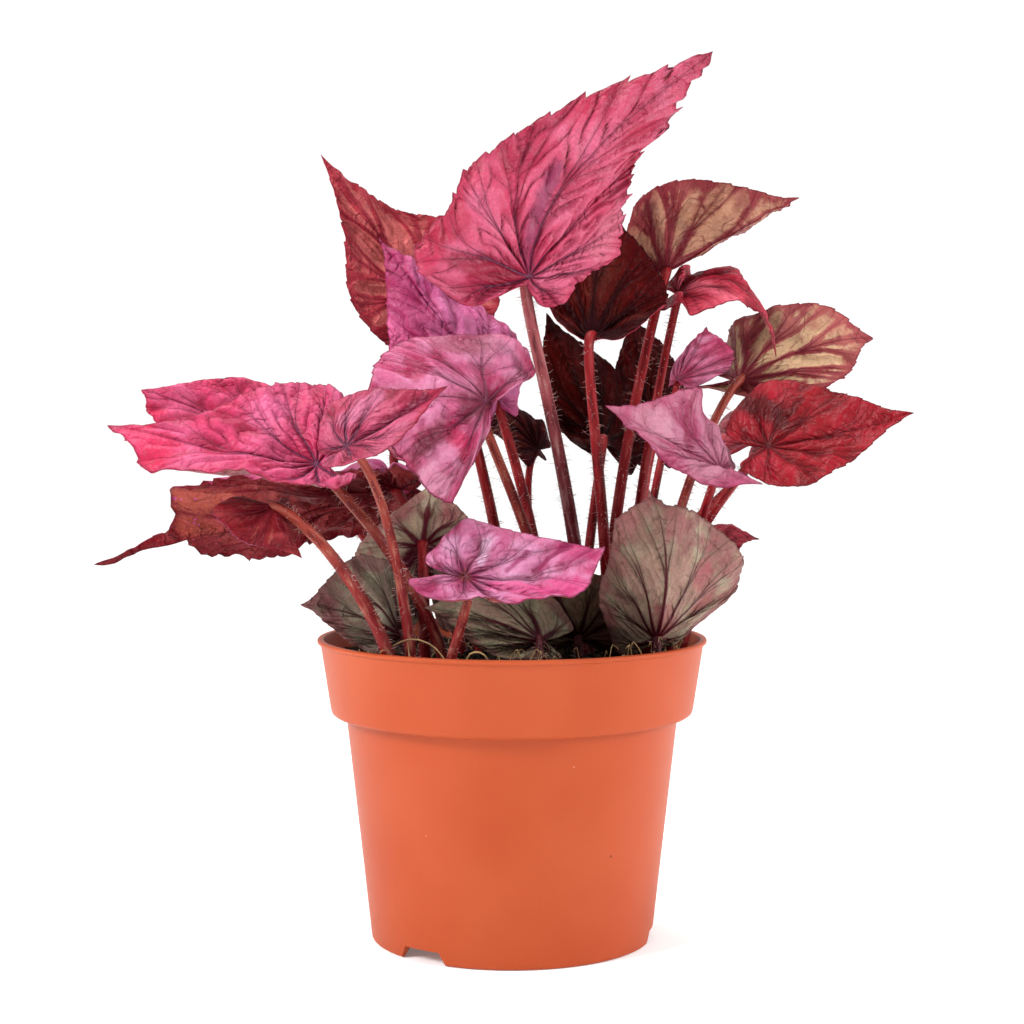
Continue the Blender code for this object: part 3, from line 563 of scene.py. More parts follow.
# Paint of some leaves is darker or lighter than their palette. Part of this is painted shade and painted light on the
# whole leaf: low_mid and low_mid_left are darkened as leaves in shadow, and back_left and mid_left are lightened where
# they lie in shade.
TINTS_AND_SHADING = {
    "back_left": (2.0, 1.5, 2.3), "left_tall": (1.2, 0.62, 0.92), "left_cup": (1.0, 0.75, 0.8),
    "left_long": (1.15, 1.0, 1.25), "left_back": (1.5, 1.1, 1.4), "left_small": (0.85, 0.8, 0.85),
    "left_low": (1.05, 0.48, 0.78), "left_curl": (1.3, 1.0, 1.25), "right_top": (1.0, 0.8, 0.9),
    "right_shade": (1.0, 0.4, 0.5), "right_curl": (1.6, 1.8, 1.9), "right_tan": (1.25, 1.3, 1.35),
    "right_red": (0.82, 0.16, 0.3), "right_lilac": (0.9, 0.65, 0.65), "right_magenta": (0.8, 0.55, 0.6),
    "front": (1.0, 0.9, 0.95), "low_right": (1.2, 1.05, 1.05), "mid_left": (1.7, 1.5, 1.5),
    "low_mid": (0.5, 0.4, 0.32), "low_mid_left": (0.8, 0.75, 0.7),
    "centre_back_left": (0.5, 0.1, 0.14), "centre_back_right": (0.6, 0.14, 0.18),
}

# For each leaf its upper face, its lower face and its stalk
LOOKS = {
    "top": ("pink", "brick", "dusk"),
    "back_left": ("pink", "brick", "red"),
    "left_tall": ("lilac", "rose", "red"),
    "left_cup": ("magenta", "rose", "tan"),
    "left_long": ("pink", "rose", "tan"),
    "left_back": ("pink", "brick", "red"),
    "left_small": ("pink", "rose", "tan"),
    "left_low": ("magenta", "brick", "red"),
    "left_curl": ("magenta", "brick", "tan"),
    "middle_small": ("maroon", "maroon", "red"),
    "centre_back_left": ("crimson", "maroon", "red"),
    "centre_back_right": ("crimson", "maroon", "red"),
    "right_top": ("pink", "tan", "red"),
    "right_shade": ("pink", "maroon", "red"),
    "right_curl": ("crimson", "rose", "red"),
    "right_tan": ("pink", "tan", "tan"),
    "right_red": ("crimson", "brick", "red"),
    "right_lilac": ("lilac", "rose", "red"),
    "right_magenta": ("magenta", "brick", "red"),
    "front": ("magenta", "rose", "tan"),
    "low_right": ("magenta", "green", "dark"),
    "low_right_tip": ("crimson", "green", "red"),
    "low_left": ("magenta", "green", "dark"),
    "mid_left": ("magenta", "green", "red"),
    "low_mid": ("magenta", "green", "dark"),
    "low_mid_left": ("magenta", "green", "dark"),
    "rear_left": ("pink", "brick", "red"),
    "rear_right": ("crimson", "tan", "red"),
    "rear_low": ("pink", "green", "red"),
}

# Streaks of colour on the flat blade, by face: both ends, radius, colour and share. Most are the leaves' own markings.
# The ones marked below are painted highlights, painted shade and a painted glow.
SPOTS = {
    "upper": {
        "top": (
            ((0.2, 0.03), (0.45, 0.07), 0.055, (112, 48, 88), 0.6),
            ((0.03, 0.01), (0.15, 0.03), 0.045, (112, 38, 78), 0.55),
            ((-0.05, 0.06), (-0.1, 0.22), 0.08, (136, 10, 38), 0.7),
            ((0.1, -0.3), (0.25, -0.35), 0.11, (232, 132, 156), 0.5),
            ((-0.06, 0.35), (0.1, 0.4), 0.08, (176, 24, 52), 0.5),
        ),
        "left_long": (
            ((0.36, -0.12), (0.54, -0.16), 0.05, (150, 12, 48), 0.7),
            ((0.54, -0.02), (0.66, -0.05), 0.04, (150, 12, 48), 0.6),
            ((0.72, 0.08), (0.85, 0.04), 0.12, (226, 40, 80), 0.6),
            ((0.23, -0.26), (0.35, -0.22), 0.1, (236, 120, 156), 0.6),
        ),
        "left_small": (
            ((0.12, 0.01), (0.79, 0.03), 0.06, (132, 10, 60), 0.75),
            # The white-pink streak beside the midrib is a painted highlight.
            ((0.1, 0.2), (0.4, 0.25), 0.1, (236, 144, 180), 0.6),
            ((0.3, -0.2), (0.6, -0.12), 0.09, (226, 110, 150), 0.5),
        ),
        "left_cup": (
            ((0.0, 0.0), (0.15, 0.05), 0.1, (100, 4, 40), 0.8),
            ((0.2, 0.15), (0.1, 0.2), 0.07, (214, 36, 96), 0.6),
            # The brownish streak is painted shade on the hanging half, and the white-pink one after it is a painted
            # highlight.
            ((0.3, 0.15), (0.4, 0.21), 0.11, (120, 58, 72), 0.75),
            ((0.15, 0.36), (0.3, 0.32), 0.08, (236, 180, 208), 0.75),
            ((-0.1, -0.3), (0.07, -0.35), 0.1, (172, 112, 134), 0.6),
            ((0.29, -0.23), (0.45, -0.12), 0.07, (170, 20, 76), 0.6),
        ),
        "left_tall": (
            ((0.5, 0.12), (0.85, 0.03), 0.13, (156, 18, 80), 0.6),
            ((0.4, 0.22), (0.55, 0.24), 0.07, (236, 150, 182), 0.7),
            ((0.1, -0.2), (0.3, -0.22), 0.12, (172, 120, 148), 0.6),
        ),
        "right_curl": (
            # The pale pink streak is a painted highlight. The dark streak at the tip is painted shade, and also stands
            # for the underside that shows where the tip turns over.
            ((0.08, 0.02), (0.37, -0.3), 0.1, (216, 96, 112), 0.6),
            ((0.6, -0.21), (0.9, -0.05), 0.12, (92, 2, 16), 0.7),
        ),
        "right_red": (
            ((0.1, 0.15), (-0.14, 0.34), 0.11, (84, 2, 14), 0.85),
            ((0.1, 0.12), (0.25, 0.26), 0.045, (96, 4, 20), 0.7),
            ((-0.14, -0.2), (-0.02, -0.2), 0.08, (204, 96, 106), 0.5),
        ),
        "right_lilac": (
            ((0.25, -0.03), (0.41, -0.27), 0.04, (146, 24, 76), 0.65),
            ((0.5, -0.05), (0.7, -0.08), 0.12, (230, 190, 212), 0.5),
            ((0.05, 0.02), (0.5, 0.08), 0.05, (168, 36, 92), 0.5),
        ),
        "front": (
            ((0.0, 0.0), (0.0, 0.0), 0.06, (164, 88, 60), 0.9),
            # The white-lilac streak is a painted highlight.
            ((0.12, 0.12), (0.2, 0.25), 0.05, (244, 212, 236), 0.75),
            ((0.3, 0.06), (0.4, 0.18), 0.03, (146, 24, 90), 0.75),
            ((0.48, 0.06), (0.6, 0.2), 0.04, (132, 8, 70), 0.85),
            ((0.7, 0.06), (0.85, 0.12), 0.04, (140, 12, 76), 0.8),
            ((0.2, -0.1), (0.7, -0.12), 0.1, (226, 60, 132), 0.65),
        ),
    },
    "lower": {
        "left_low": (
            ((0.5, 0.14), (0.62, 0.16), 0.08, (204, 142, 92), 0.7),
            ((0.6, 0.0), (0.66, 0.04), 0.06, (196, 130, 84), 0.6),
            ((0.05, 0.05), (0.25, 0.12), 0.14, (62, 2, 12), 0.75),
            ((0.15, -0.18), (0.3, -0.2), 0.12, (118, 12, 24), 0.5),
        ),
        "right_top": (
            ((0.0, -0.08), (0.01, -0.32), 0.09, (80, 8, 24), 0.7),
            ((0.12, -0.06), (0.2, -0.14), 0.05, (92, 10, 28), 0.6),
            ((0.3, -0.15), (0.5, -0.2), 0.1, (204, 166, 122), 0.5),
        ),
        "right_shade": (((0.35, 0.0), (0.5, 0.06), 0.14, (104, 62, 40), 0.4),),
        "right_tan": (((0.08, -0.1), (0.12, -0.25), 0.1, (116, 24, 44), 0.65),),
        "low_right": (
            ((0.0, 0.06), (0.15, 0.0), 0.1, (138, 62, 74), 0.7),
            ((0.02, 0.25), (0.3, 0.2), 0.08, (160, 80, 92), 0.6),
            ((0.48, 0.12), (0.6, 0.18), 0.05, (96, 20, 44), 0.4),
            ((0.5, -0.12), (0.8, 0.0), 0.09, (122, 116, 94), 0.5),
        ),
        "mid_left": (
            ((0.2, -0.1), (0.45, 0.0), 0.12, (160, 154, 124), 0.6),
            ((0.3, 0.18), (0.5, 0.15), 0.09, (136, 74, 80), 0.6),
        ),
        # The orange-brown spot is a painted glow: light shining through the thin blade.
        "centre_back_left": (((0.3, -0.1), (0.6, -0.1), 0.25, (146, 58, 26), 0.4),),
    },
}


def unit(vector):
    return vector / np.linalg.norm(vector)


def circle(radius, turn, height):
    return radius * math.cos(turn), radius * math.sin(turn), height


def smooth_step(value):
    value = np.clip(value, 0, 1)
    return value * value * (3 - 2 * value)


def smooth_curve(points, shares):
    """Points of a Catmull-Rom curve through the given points, at the given shares of its length."""
    points = np.array(points, float)
    points = np.vstack([2 * points[0] - points[1], points, 2 * points[-1] - points[-2]])
    t = np.arange(CURVE_PIECES)[:, None] / CURVE_PIECES
    dense = []
    for a, b, c, d in zip(points, points[1:], points[2:], points[3:]):
        dense.append(b + 0.5 * t * (c - a + t * (2 * a - 5 * b + 4 * c - d + t * (3 * (b - c) + d - a))))
    dense = np.vstack([*dense, points[-2]])
    length = np.concatenate([[0], np.cumsum(np.linalg.norm(np.diff(dense, axis=0), axis=1))])
    wanted = shares * length[-1]
    return np.column_stack([np.interp(wanted, length, dense[:, k]) for k in range(dense.shape[1])])


class Waves:
    """Smooth noise of x and y: a sum of sines in random directions, about -1 to 1."""

    def __init__(self, seed, length, count=9):
        draw = random.Random(seed)
        self.terms = []
        for _ in range(count):
            turn, phase = draw.uniform(0, math.tau), draw.uniform(0, math.tau)
            pitch = math.tau / (length * draw.uniform(0.7, 1.5))
            self.terms.append((pitch * math.cos(turn), pitch * math.sin(turn), phase))

    def __call__(self, x, y):
        total = sum(np.sin(a * x + b * y + phase) for a, b, phase in self.terms)
        return total / math.sqrt(len(self.terms))


class Blade:
    """Turns points of the flat blade into points in space, in millimetres."""

    def __init__(self, leaf):
        self.junction = np.array(leaf["junction"], float)
        self.along = np.array(leaf["tip"], float) - self.junction
        self.length = np.linalg.norm(self.along)
        self.bow = np.array(leaf["bow"], float)
        self.cup = leaf["cup"]
        x, y = SIDE_SPOT
        base = self.junction + self.along * x + self.bow * 4 * x * (1 - x)
        self.left = (np.array(leaf["left"], float) - base) / y
        self.right = (np.array(leaf["right"], float) - base) / y
        self.normals = (unit(np.cross(self.along, self.left)), unit(np.cross(self.right, self.along)))
        # The lobes and then the pulls are found from where the blade would be without them.
        self.pulls = []
        self.lobes = (np.zeros(3), np.zeros(3))
        x, y = LOBE_SPOT
        self.lobes = (self.shift(x, y, leaf["left_lobe"]), self.shift(x, -y, leaf["right_lobe"]))
        for x, y, point in leaf.get("pulls", ()):
            self.pulls.append((x, y, self.shift(x, y, point)))

    def shift(self, x, y, point):
        """The way to the given point from where the rim has it so far."""
        return np.array(point, float) - self.place([x], [y])[0]

    def place(self, x, y, out=None):
        """out is the share of the way from the junction to the rim, 1 for a point on the rim."""
        x, y = np.array(x, float), np.array(y, float)
        out = np.ones_like(x) if out is None else np.array(out, float)
        radius, angle = np.hypot(x, y), np.arctan2(y, x)
        crease = np.sqrt(y * y + CREASE_ROUNDING**2) - CREASE_ROUNDING
        point = self.junction + np.outer(x, self.along) + np.outer(4 * x * (1 - x), self.bow)
        point = point + np.outer((crease + y) / 2, self.left) + np.outer((crease - y) / 2, self.right)
        side_angle = math.atan2(SIDE_SPOT[1], SIDE_SPOT[0])
        lobe_angle = math.atan2(LOBE_SPOT[1], LOBE_SPOT[0])
        lobe_share = smooth_step((np.abs(angle) - side_angle) / (lobe_angle - side_angle))
        lobe_share = lobe_share * radius / math.hypot(*LOBE_SPOT)
        leftness = smooth_step(0.5 + y / MIDRIB_BLEND)
        point = point + np.outer(lobe_share * leftness, self.lobes[0])
        point = point + np.outer(lobe_share * (1 - leftness), self.lobes[1])
        for pull_x, pull_y, shift in self.pulls:
            turn = (angle - math.atan2(pull_y, pull_x)) / PULL_SPREAD
            share = np.exp(-turn * turn) * (radius / math.hypot(pull_x, pull_y)) ** 2
            point = point + np.outer(share * np.clip(y / pull_y, 0, 1), shift)
        arch = 4 * out * (1 - out) * np.sin(angle) ** 2
        pleat = PLEAT_HEIGHT * self.length * self.pleats(angle) * out * (1.3 - out)
        normal = np.outer(leftness, self.normals[0]) + np.outer(1 - leftness, self.normals[1])
        lift = arch * (leftness * self.cup[0] + (1 - leftness) * self.cup[1]) + pleat
        return point + normal * lift[:, None]

    @staticmethod
    def pleats(angle):
        """The blade bulges between its main veins: 0 on a vein and 1 half way to the next."""
        angle = np.degrees(np.abs(angle))
        height = np.zeros_like(angle)
        for low, high in zip(VEIN_ANGLES, VEIN_ANGLES[1:]):
            inside = (angle >= low) & (angle < high)
            height = np.where(inside, np.sin(np.pi * (angle - low) / (high - low)) ** 2, height)
        return height

    def normal(self, x, y, out):
        step = NORMAL_STEP
        ahead = self.place(x + step, y, out) - self.place(x - step, y, out)
        leftward = self.place(x, y + step, out) - self.place(x, y - step, out)
        normal = np.cross(ahead, leftward)
        return normal / np.linalg.norm(normal, axis=1)[:, None]


def srgb(colour, tone=TONE):
    """Linear RGBA of a colour given in sRGB from 0 to 255, as it looks in the studio's light."""
    parts = [c / 255 for c in colour]
    linear = [c / 12.92 if c <= 0.04045 else ((c + 0.055) / 1.055) ** 2.4 for c in parts]
    return (*[c * tone for c in linear], 1.0)


class Value:
    """An output of a node. Arithmetic with it adds the nodes that work out the result."""

    def __init__(self, nodes, socket):
        self.nodes = nodes
        self.socket = socket

    def __add__(self, other):
        return self.nodes.math("ADD", self, other)

    def __sub__(self, other):
        return self.nodes.math("SUBTRACT", self, other)

    def __rsub__(self, other):
        return self.nodes.math("SUBTRACT", other, self)

    def __mul__(self, other):
        return self.nodes.math("MULTIPLY", self, other)

    def __truediv__(self, other):
        return self.nodes.math("DIVIDE", self, other)

    def __abs__(self):
        return self.nodes.math("ABSOLUTE", self)

    def __round__(self):
        return self.nodes.math("ROUND", self)


class Nodes:
    """Adds nodes to a tree. What goes into them may be numbers, colours or values."""

    def __init__(self, tree):
        self.tree = tree

    def new(self, kind, **settings):
        node = self.tree.nodes.new("ShaderNode" + kind)
        for name, setting in settings.items():
            setattr(node, name, setting)
        return node

    def feed(self, socket, value):
        if isinstance(value, Value):
            self.tree.links.new(value.socket, socket)
        else:
            socket.default_value = value

    def result(self, node, inputs, output=0):
        """Feeds the node's inputs, given by name or number, and gives one of its outputs."""
        for key, value in inputs.items():
            self.feed(node.inputs[key], value)
        return Value(self, node.outputs[output])

    def math(self, operation, *values, clamp=False):
        return self.result(self.new("Math", operation=operation, use_clamp=clamp), dict(enumerate(values)))

    def step(self, value, low, high):
        """0 up to low, 1 from high on, and a smooth rise between. high may be less than low."""
        node = self.new("MapRange", interpolation_type="SMOOTHSTEP")
        falls = not isinstance(low, Value) and not isinstance(high, Value) and low > high
        ends = (high, low, 1.0, 0.0) if falls else (low, high, 0.0, 1.0)
        return self.result(node, dict(enumerate((value, *ends))))

    def mix(self, share, a, b, kind="MIX"):
        """The colour a with a share of the colour b laid over it."""
        node = self.new("Mix", data_type="RGBA", blend_type=kind)
        return self.result(node, {0: share, 6: a, 7: b}, 2)

    def uv(self, name):
        return Value(self, self.new("UVMap", uv_map=name).outputs[0])

    def split(self, vector):
        node = self.new("SeparateXYZ")
        self.feed(node.inputs[0], vector)
        return [Value(self, part) for part in node.outputs]

    def join(self, *parts):
        return self.result(self.new("CombineXYZ"), dict(enumerate(parts)))

    def place(self):
        return Value(self, self.new("TexCoord").outputs["Object"])

    def noise(self, size, detail=2.0, vector=None, seed=0.0):
        """Noise from 0 to 1 with blobs of about size millimetres."""
        node = self.new("TexNoise", noise_dimensions="4D")
        inputs = {"Vector": vector or self.place(), "W": seed, "Scale": 1 / (size * MM), "Detail": detail}
        return self.result(node, inputs, "Fac")

    def net(self, size):
        """Distance to the nearest line of a net with meshes of size millimetres, in mesh sizes."""
        node = self.new("TexVoronoi", feature="DISTANCE_TO_EDGE")
        return self.result(node, {"Vector": self.place(), "Scale": 1 / (size * MM)}, "Distance")

    def group(self, tree, inputs):
        """Adds the group tree and gives its outputs by name."""
        node = self.new("Group", node_tree=tree)
        self.result(node, inputs)
        return {socket.name: Value(self, socket) for socket in node.outputs}


class Group(Nodes):
    """Nodes that many materials share, made once. An input is made when it is first asked for."""

    def __init__(self, name):
        super().__init__(bpy.data.node_groups.new(name, "ShaderNodeTree"))
        self.source = self.tree.nodes.new("NodeGroupInput")
        self.sink = self.tree.nodes.new("NodeGroupOutput")

    def input(self, name, kind="Float"):
        if name not in self.source.outputs:
            self.tree.interface.new_socket(name, in_out="INPUT", socket_type="NodeSocket" + kind)
        return Value(self, self.source.outputs[name])

    def colour(self, name):
        return self.input(name, "Color")

    def output(self, name, value, kind="Float"):
        self.tree.interface.new_socket(name, in_out="OUTPUT", socket_type="NodeSocket" + kind)
        self.feed(self.sink.inputs[name], value)


class Material(Nodes):
    def __init__(self, name):
        self.material = bpy.data.materials.new(name)
        self.material.use_nodes = True
        super().__init__(self.material.node_tree)
        self.shader = self.tree.nodes["Principled BSDF"]

    def bump(self, height, distance):
        """Relief of that height, and distance millimetres deep."""
        node = self.new("Bump")
        normal = self.result(node, {"Distance": distance * MM, "Height": height})
        self.feed(self.shader.inputs["Normal"], normal)

    def finish(self, colour, roughness, **constants):
        self.feed(self.shader.inputs["Base Color"], colour)
        self.feed(self.shader.inputs["Roughness"], roughness)
        for name, value in constants.items():
            self.shader.inputs[name.replace("_", " ")].default_value = value
        return self.material


def pattern_group():
    """The ground colour of a face, with painted shade and painted highlights on its folds, and how strong each line is
    on it, from the blade's flat coordinates.
    """
    n = Group("blade_pattern")
    seed, length, sign, width = (n.input(name) for name in ("seed", "length", "sign", "width"))
    a, out, _ = n.split(n.uv("veins"))
    x, y, _ = n.split(n.uv("flat"))
    branch, bulge, _ = n.split(n.uv("folds"))
    blob = {name: n.noise(size, detail, seed=seed + shift) for name, (size, detail, shift) in BLOBS.items()}
    medium, middle, grain = blob["medium"], blob["middle"], blob["grain"]

    def paint(share, colour, name):
        """Lays the colour of that name over colour."""
        return n.mix(share * n.input(name + " share"), colour, n.colour(name))

    # u is how far a point is from the nearest main vein, 0.5 half way to the next.
    radius = n.math("SQRT", x * x + y * y)
    u = abs(a - round(a))
    across = radius * VEIN_SPREAD * length
    off_vein = u * across
    off_fork = abs(u - (out - FORK_START) * FORK_SLOPE) * across
    off_fork = off_fork + n.step(out, FORK_START, FORK_START - 0.05) * 4.0
    near_vein = n.math("MINIMUM", off_vein, off_fork)
    off_branch = abs(branch - round(branch)) * BRANCH_GAP

    # Main veins, their forks, the small veins between them, and the net
    taper = n.math("MAXIMUM", (1.15 - out) * width, 0.12)
    forks = n.step(off_fork / taper, 0.8, 0.2) * 0.8
    vein = n.math("MAXIMUM", n.step(off_vein / taper, 1.0, 0.3), forks)
    branches = n.step(off_branch, width * 0.45 + 0.15, 0.05) * n.step(middle, 0.35, 0.55)
    mesh = n.net(NET_MESH)
    fine_lines = n.step(n.net(FINE_MESH), 0.09, 0.0) * 0.5
    net_lines = n.math("MAXIMUM", n.step(mesh, 0.07, 0.0), fine_lines)
    # Dents are bumped, and the ink draws them in the crease colour as painted shade.
    dents = radius * length / DENT_GAP + a * DENT_SLANT + middle * 1.8
    dents = n.step(abs(dents - round(dents)), 0.3, 0.02) * n.step(off_vein, DENT_REACH, 1.0)
    dents = dents * n.step(out, 0.12, 0.3) * n.step(medium, 0.36, 0.6)
    fade = n.step(out + middle * 0.3, 1.15, 0.55) * 0.75 + 0.25

    # The ground, darker in broad clouds
    colour = n.mix(n.step(blob["large"], 0.36, 0.68), n.colour("base"), n.colour("light"))
    colour = n.mix(n.step(blob["deep"], 0.44, 0.66) * 0.55, colour, n.colour("crease"))
    # The folds between the small veins get painted shade at the bottom and a painted highlight on top, on either face,
    # from the height of the relief.
    bulge = 0.5 - sign * (bulge - 0.5)
    fold_shading = (middle - 0.5) * 0.9 + bulge
    colour = n.mix(n.step(fold_shading, 0.5, 0.12) * n.input("fold_shading share"), colour, n.colour("crease"))
    colour = n.mix(n.step(fold_shading, 0.5, 0.95) * n.input("shine share"), colour, n.colour("light"))
    # Patches keep clear of the veins, the margin and the centre.
    clear = n.step(near_vein, 0.2, 2.0) * 0.45 + medium * 1.1 + (blob["mottle"] - 0.5) * 0.7
    clear = clear - n.step(out, 0.86, 1.0) * 0.35 - n.step(out, 0.3, 0.05) * 0.6
    colour = paint(n.step(clear, PATCH_EDGE - 0.14, PATCH_EDGE + 0.16), colour, "patch")
    colour = paint(n.step(out + (medium - 0.5) * 1.1, 0.72, 0.95), colour, "margin")
    # Flames of the centre's colour lick out between the veins.
    streak = n.noise(1.0, 2.0, vector=n.join(a * 0.009, out * 0.004, seed))
    flame = out + u * 0.5 + (streak - 0.5) * 0.6
    colour = paint(n.step(flame, 0.42, 0.08), colour, "centre")

    relief = (vein * 0.6 + branches * 0.35 + dents * 1.2 - n.step(mesh, 0.0, 0.25) * 0.25) * sign
    wrinkles = blob["wrinkle"] * WRINKLE * n.step(off_vein, 0.0, 1.5)
    n.output("ground", colour, "Color")
    results = {
        "x": x, "y": y, "middle": middle, "net line": net_lines, "branch line": branches, "dent line": dents,
        "halo line": n.step(near_vein, 1.9, 0.0) * 0.4 * fade, "vein line": vein * fade,
        "rim line": n.step(out, 0.982, 0.995), "shade": grain * 0.5 + 0.75,
        "height": relief + grain * 0.35 + wrinkles, "rough": middle * 0.2 + 0.36,
    }
    for name, value in results.items():
        n.output(name, value)
    return n.tree


def streak_group():
    """Lays a soft streak of paint between two points of the flat blade over the ground. Some of the streaks are
    painted highlights, painted shade and a painted glow.
    """
    n = Group("blade_streak")
    start_x, start_y, size = n.input("start x"), n.input("start y"), n.input("size")
    run, rise = n.input("end x") - start_x, n.input("end y") - start_y
    dx, dy = n.input("x") - start_x, n.input("y") - start_y
    whole = n.math("MAXIMUM", run * run + rise * rise, 1e-6)
    along = n.math("DIVIDE", dx * run + dy * rise, whole, clamp=True)
    dx, dy = dx - along * run, dy - along * rise
    uneven = (n.input("middle") - 0.5) * 1.3
    off = n.math("SQRT", dx * dx + dy * dy) + uneven * size
    share = n.step(off, size, size * 0.3) * n.input("amount")
    n.output("colour", n.mix(share, n.colour("ground"), n.colour("paint")), "Color")
    return n.tree


def ink_group():
    """Draws the lines over the ground: net, small side veins, dents, main veins and the rim."""
    n = Group("blade_ink")
    colour = n.colour("ground")
    # The branch lines in the crease colour are partly painted shade along the small veins, and the dent lines are
    # painted shade.
    for line, ink in INKS:
        colour = n.mix(n.input(line + " line") * n.input(line + " share"), colour, n.colour(ink))
    # The whole colour is then multiplied by the leaf's own factor, which is partly painted shade and painted light.
    colour = n.mix(1.0, colour, n.colour("tint_and_shading"), "MULTIPLY")
    n.output("colour", n.mix(1.0, colour, n.input("shade"), "MULTIPLY"), "Color")
    return n.tree


def face_material(leaf, face, length, seed, groups):
    """One face of one blade."""
    pattern, streak, ink = groups
    kind = LOOKS[leaf][0 if face == "upper" else 1]
    n = Material(f"{leaf}_{face}")
    paints = {name: srgb(colour) for name, colour in PALETTES[kind].items()}
    share = STRENGTHS[kind]
    inputs = {name: paints[name] for name in ("base", "light", "patch", "crease", "margin", "centre")}
    # The fold share and the shine share set how much painted shade and painted highlight the folds get.
    inputs |= {name + " share": share[name] for name in ("fold_shading", "patch", "margin", "centre")}
    inputs |= {"seed": float(seed), "length": length, "sign": 1.0 if face == "lower" else -1.0}
    inputs |= {"width": share["width"], "shine share": share.get("shine", 0.6)}
    made = n.group(pattern, inputs)
    colour = made["ground"]
    for start, end, size, paint, amount in SPOTS[face].get(leaf, ()):
        spot = {name: made[name] for name in ("x", "y", "middle")}
        spot |= {"start x": start[0], "start y": start[1], "end x": end[0], "end y": end[1]}
        spot |= {"ground": colour, "size": size, "amount": amount, "paint": srgb(paint)}
        colour = n.group(streak, spot)["colour"]
    lines = {name: made[name] for name in made if name.endswith("line") or name == "shade"}
    lines |= {name: paints[name] for name in ("net", "crease", "vein")}
    lines |= {"net share": share["net"], "branch share": share["crease"], "rim share": RIM_SHARE}
    lines |= {"halo share": share["vein"], "vein share": share["vein"]}
    lines |= {"dent share": share.get("dent", 0.2)}
    lines |= {"ground": colour, "tint_and_shading": (*TINTS_AND_SHADING.get(leaf, (1.0, 1.0, 1.0)), 1.0)}
    n.bump(made["height"], BUMP_HEIGHT)
    gloss = share.get("gloss", 0.2)
    return n.finish(n.group(ink, lines)["colour"], made["rough"], Specular_IOR_Level=gloss)


def stalk_material(kind):
    """Skin of a stalk from its foot to the blade, with pale and dark streaks along it."""
    low, high, pale, dark = (srgb(colour) for colour in STALKS[kind])
    n = Material(f"stalk_{kind}")
    around, along, _ = n.split(n.uv("skin"))
    streak = n.noise(1.0, 3.0, vector=n.join(around * 0.006, along * 0.01))
    blotches = (n.noise(6.0, 2.0) - 0.5) * 0.5
    colour = n.mix(n.step(along + blotches, 0.3, 0.95), low, high)
    colour = n.mix(n.step(streak, 0.5, 0.68) * 0.6, colour, pale)
    colour = n.mix(n.step(streak, 0.48, 0.34) * 0.75, colour, dark)
    grain = n.noise(0.6, 3.0)
    n.bump(streak * 0.7 + grain * 0.3, 0.25)
    return n.finish(colour, grain * 0.2 + 0.36, Specular_IOR_Level=0.15)


def hair_material():
    n = Material("hair")
    colour = n.mix(n.step(n.noise(5.0, 1.0), 0.35, 0.65), srgb((232, 196, 190)), srgb((206, 130, 124)))
    return n.finish(colour, n.noise(1.0) * 0.2 + 0.4, Specular_IOR_Level=0.3)


def peat_material():
    n = Material("peat_crumbs")
    coarse, fine = n.noise(5.0, 4.0), n.noise(0.9, 4.0)
    colour = n.mix(n.step(coarse, 0.35, 0.65), srgb((26, 18, 14)), srgb((52, 36, 26)))
    colour = n.mix(n.step(fine, 0.62, 0.72) * 0.5, colour, srgb((104, 78, 48)))
    n.bump(coarse + fine, 0.8)
    return n.finish(colour, fine * 0.2 + 0.78, Specular_IOR_Level=0.1)


def straw_material():
    n = Material("straw_fibre")
    colour = n.mix(n.step(n.noise(7.0, 1.0), 0.35, 0.65), srgb((196, 160, 104)), srgb((128, 92, 52)))
    grain = n.noise(0.5, 2.0)
    n.bump(grain, 0.1)
    return n.finish(colour, grain * 0.2 + 0.6)


def pot_material():
    """Moulded plastic with a few pale specks, and bits of dirt in places."""
    n = Material("pot_skin")
    cloud, grain = n.noise(40.0, 2.0), n.noise(0.35, 3.0)
    colour = n.mix(n.step(cloud, 0.3, 0.7), srgb((198, 80, 34)), srgb((206, 90, 46)))
    speck = n.step(n.noise(2.2, 1.0, seed=4.0), 0.80, 0.82)
    colour = n.mix(speck * 0.5, colour, srgb((236, 190, 168)))
    dirt = n.step(n.noise(2.6, 2.0, seed=9.0), 0.76, 0.79) * n.step(cloud, 0.5, 0.56)
    colour = n.mix(dirt * 0.8, colour, srgb((92, 44, 26)))
    n.bump(grain, 0.06)
    return n.finish(colour, grain * 0.15 + 0.42, Specular_IOR_Level=0.2)


def floor_material():
    n = Material("floor_paper")
    tone = n.noise(200.0, 1.0)
    colour = n.mix(tone, srgb((246, 246, 246), 1.0), srgb((250, 250, 250), 1.0))
    glow = {"Emission_Color": (1.0, 1.0, 1.0, 1.0), "Emission_Strength": FLOOR_GLOW}
    return n.finish(colour, tone * 0.1 + 0.8, Specular_IOR_Level=0.1, **glow)


class Parts:
    """Points and faces of one mesh, in millimetres, and the material index of each face."""

    def __init__(self, points=(), faces=()):
        self.points, self.faces, self.kinds = [], [], []
        self.add(points, faces)

    def add(self, points, faces, kind=0):
        start = len(self.points)
        self.points += list(points)
        self.faces += [tuple(start + int(k) for k in face) for face in faces]
        self.kinds += [kind] * len(faces)

    def build(self, name, materials=()):
        """A smooth mesh object."""
        mesh = bpy.data.meshes.new(name)
        mesh.from_pydata((np.array(self.points) * MM).tolist(), [], self.faces)
        for item in materials:
            mesh.materials.append(item)
        mesh.polygons.foreach_set("material_index", np.array(self.kinds, dtype=np.int32))
        mesh.shade_smooth()
        obj = bpy.data.objects.new(name, mesh)
        bpy.context.scene.collection.objects.link(obj)
        return obj


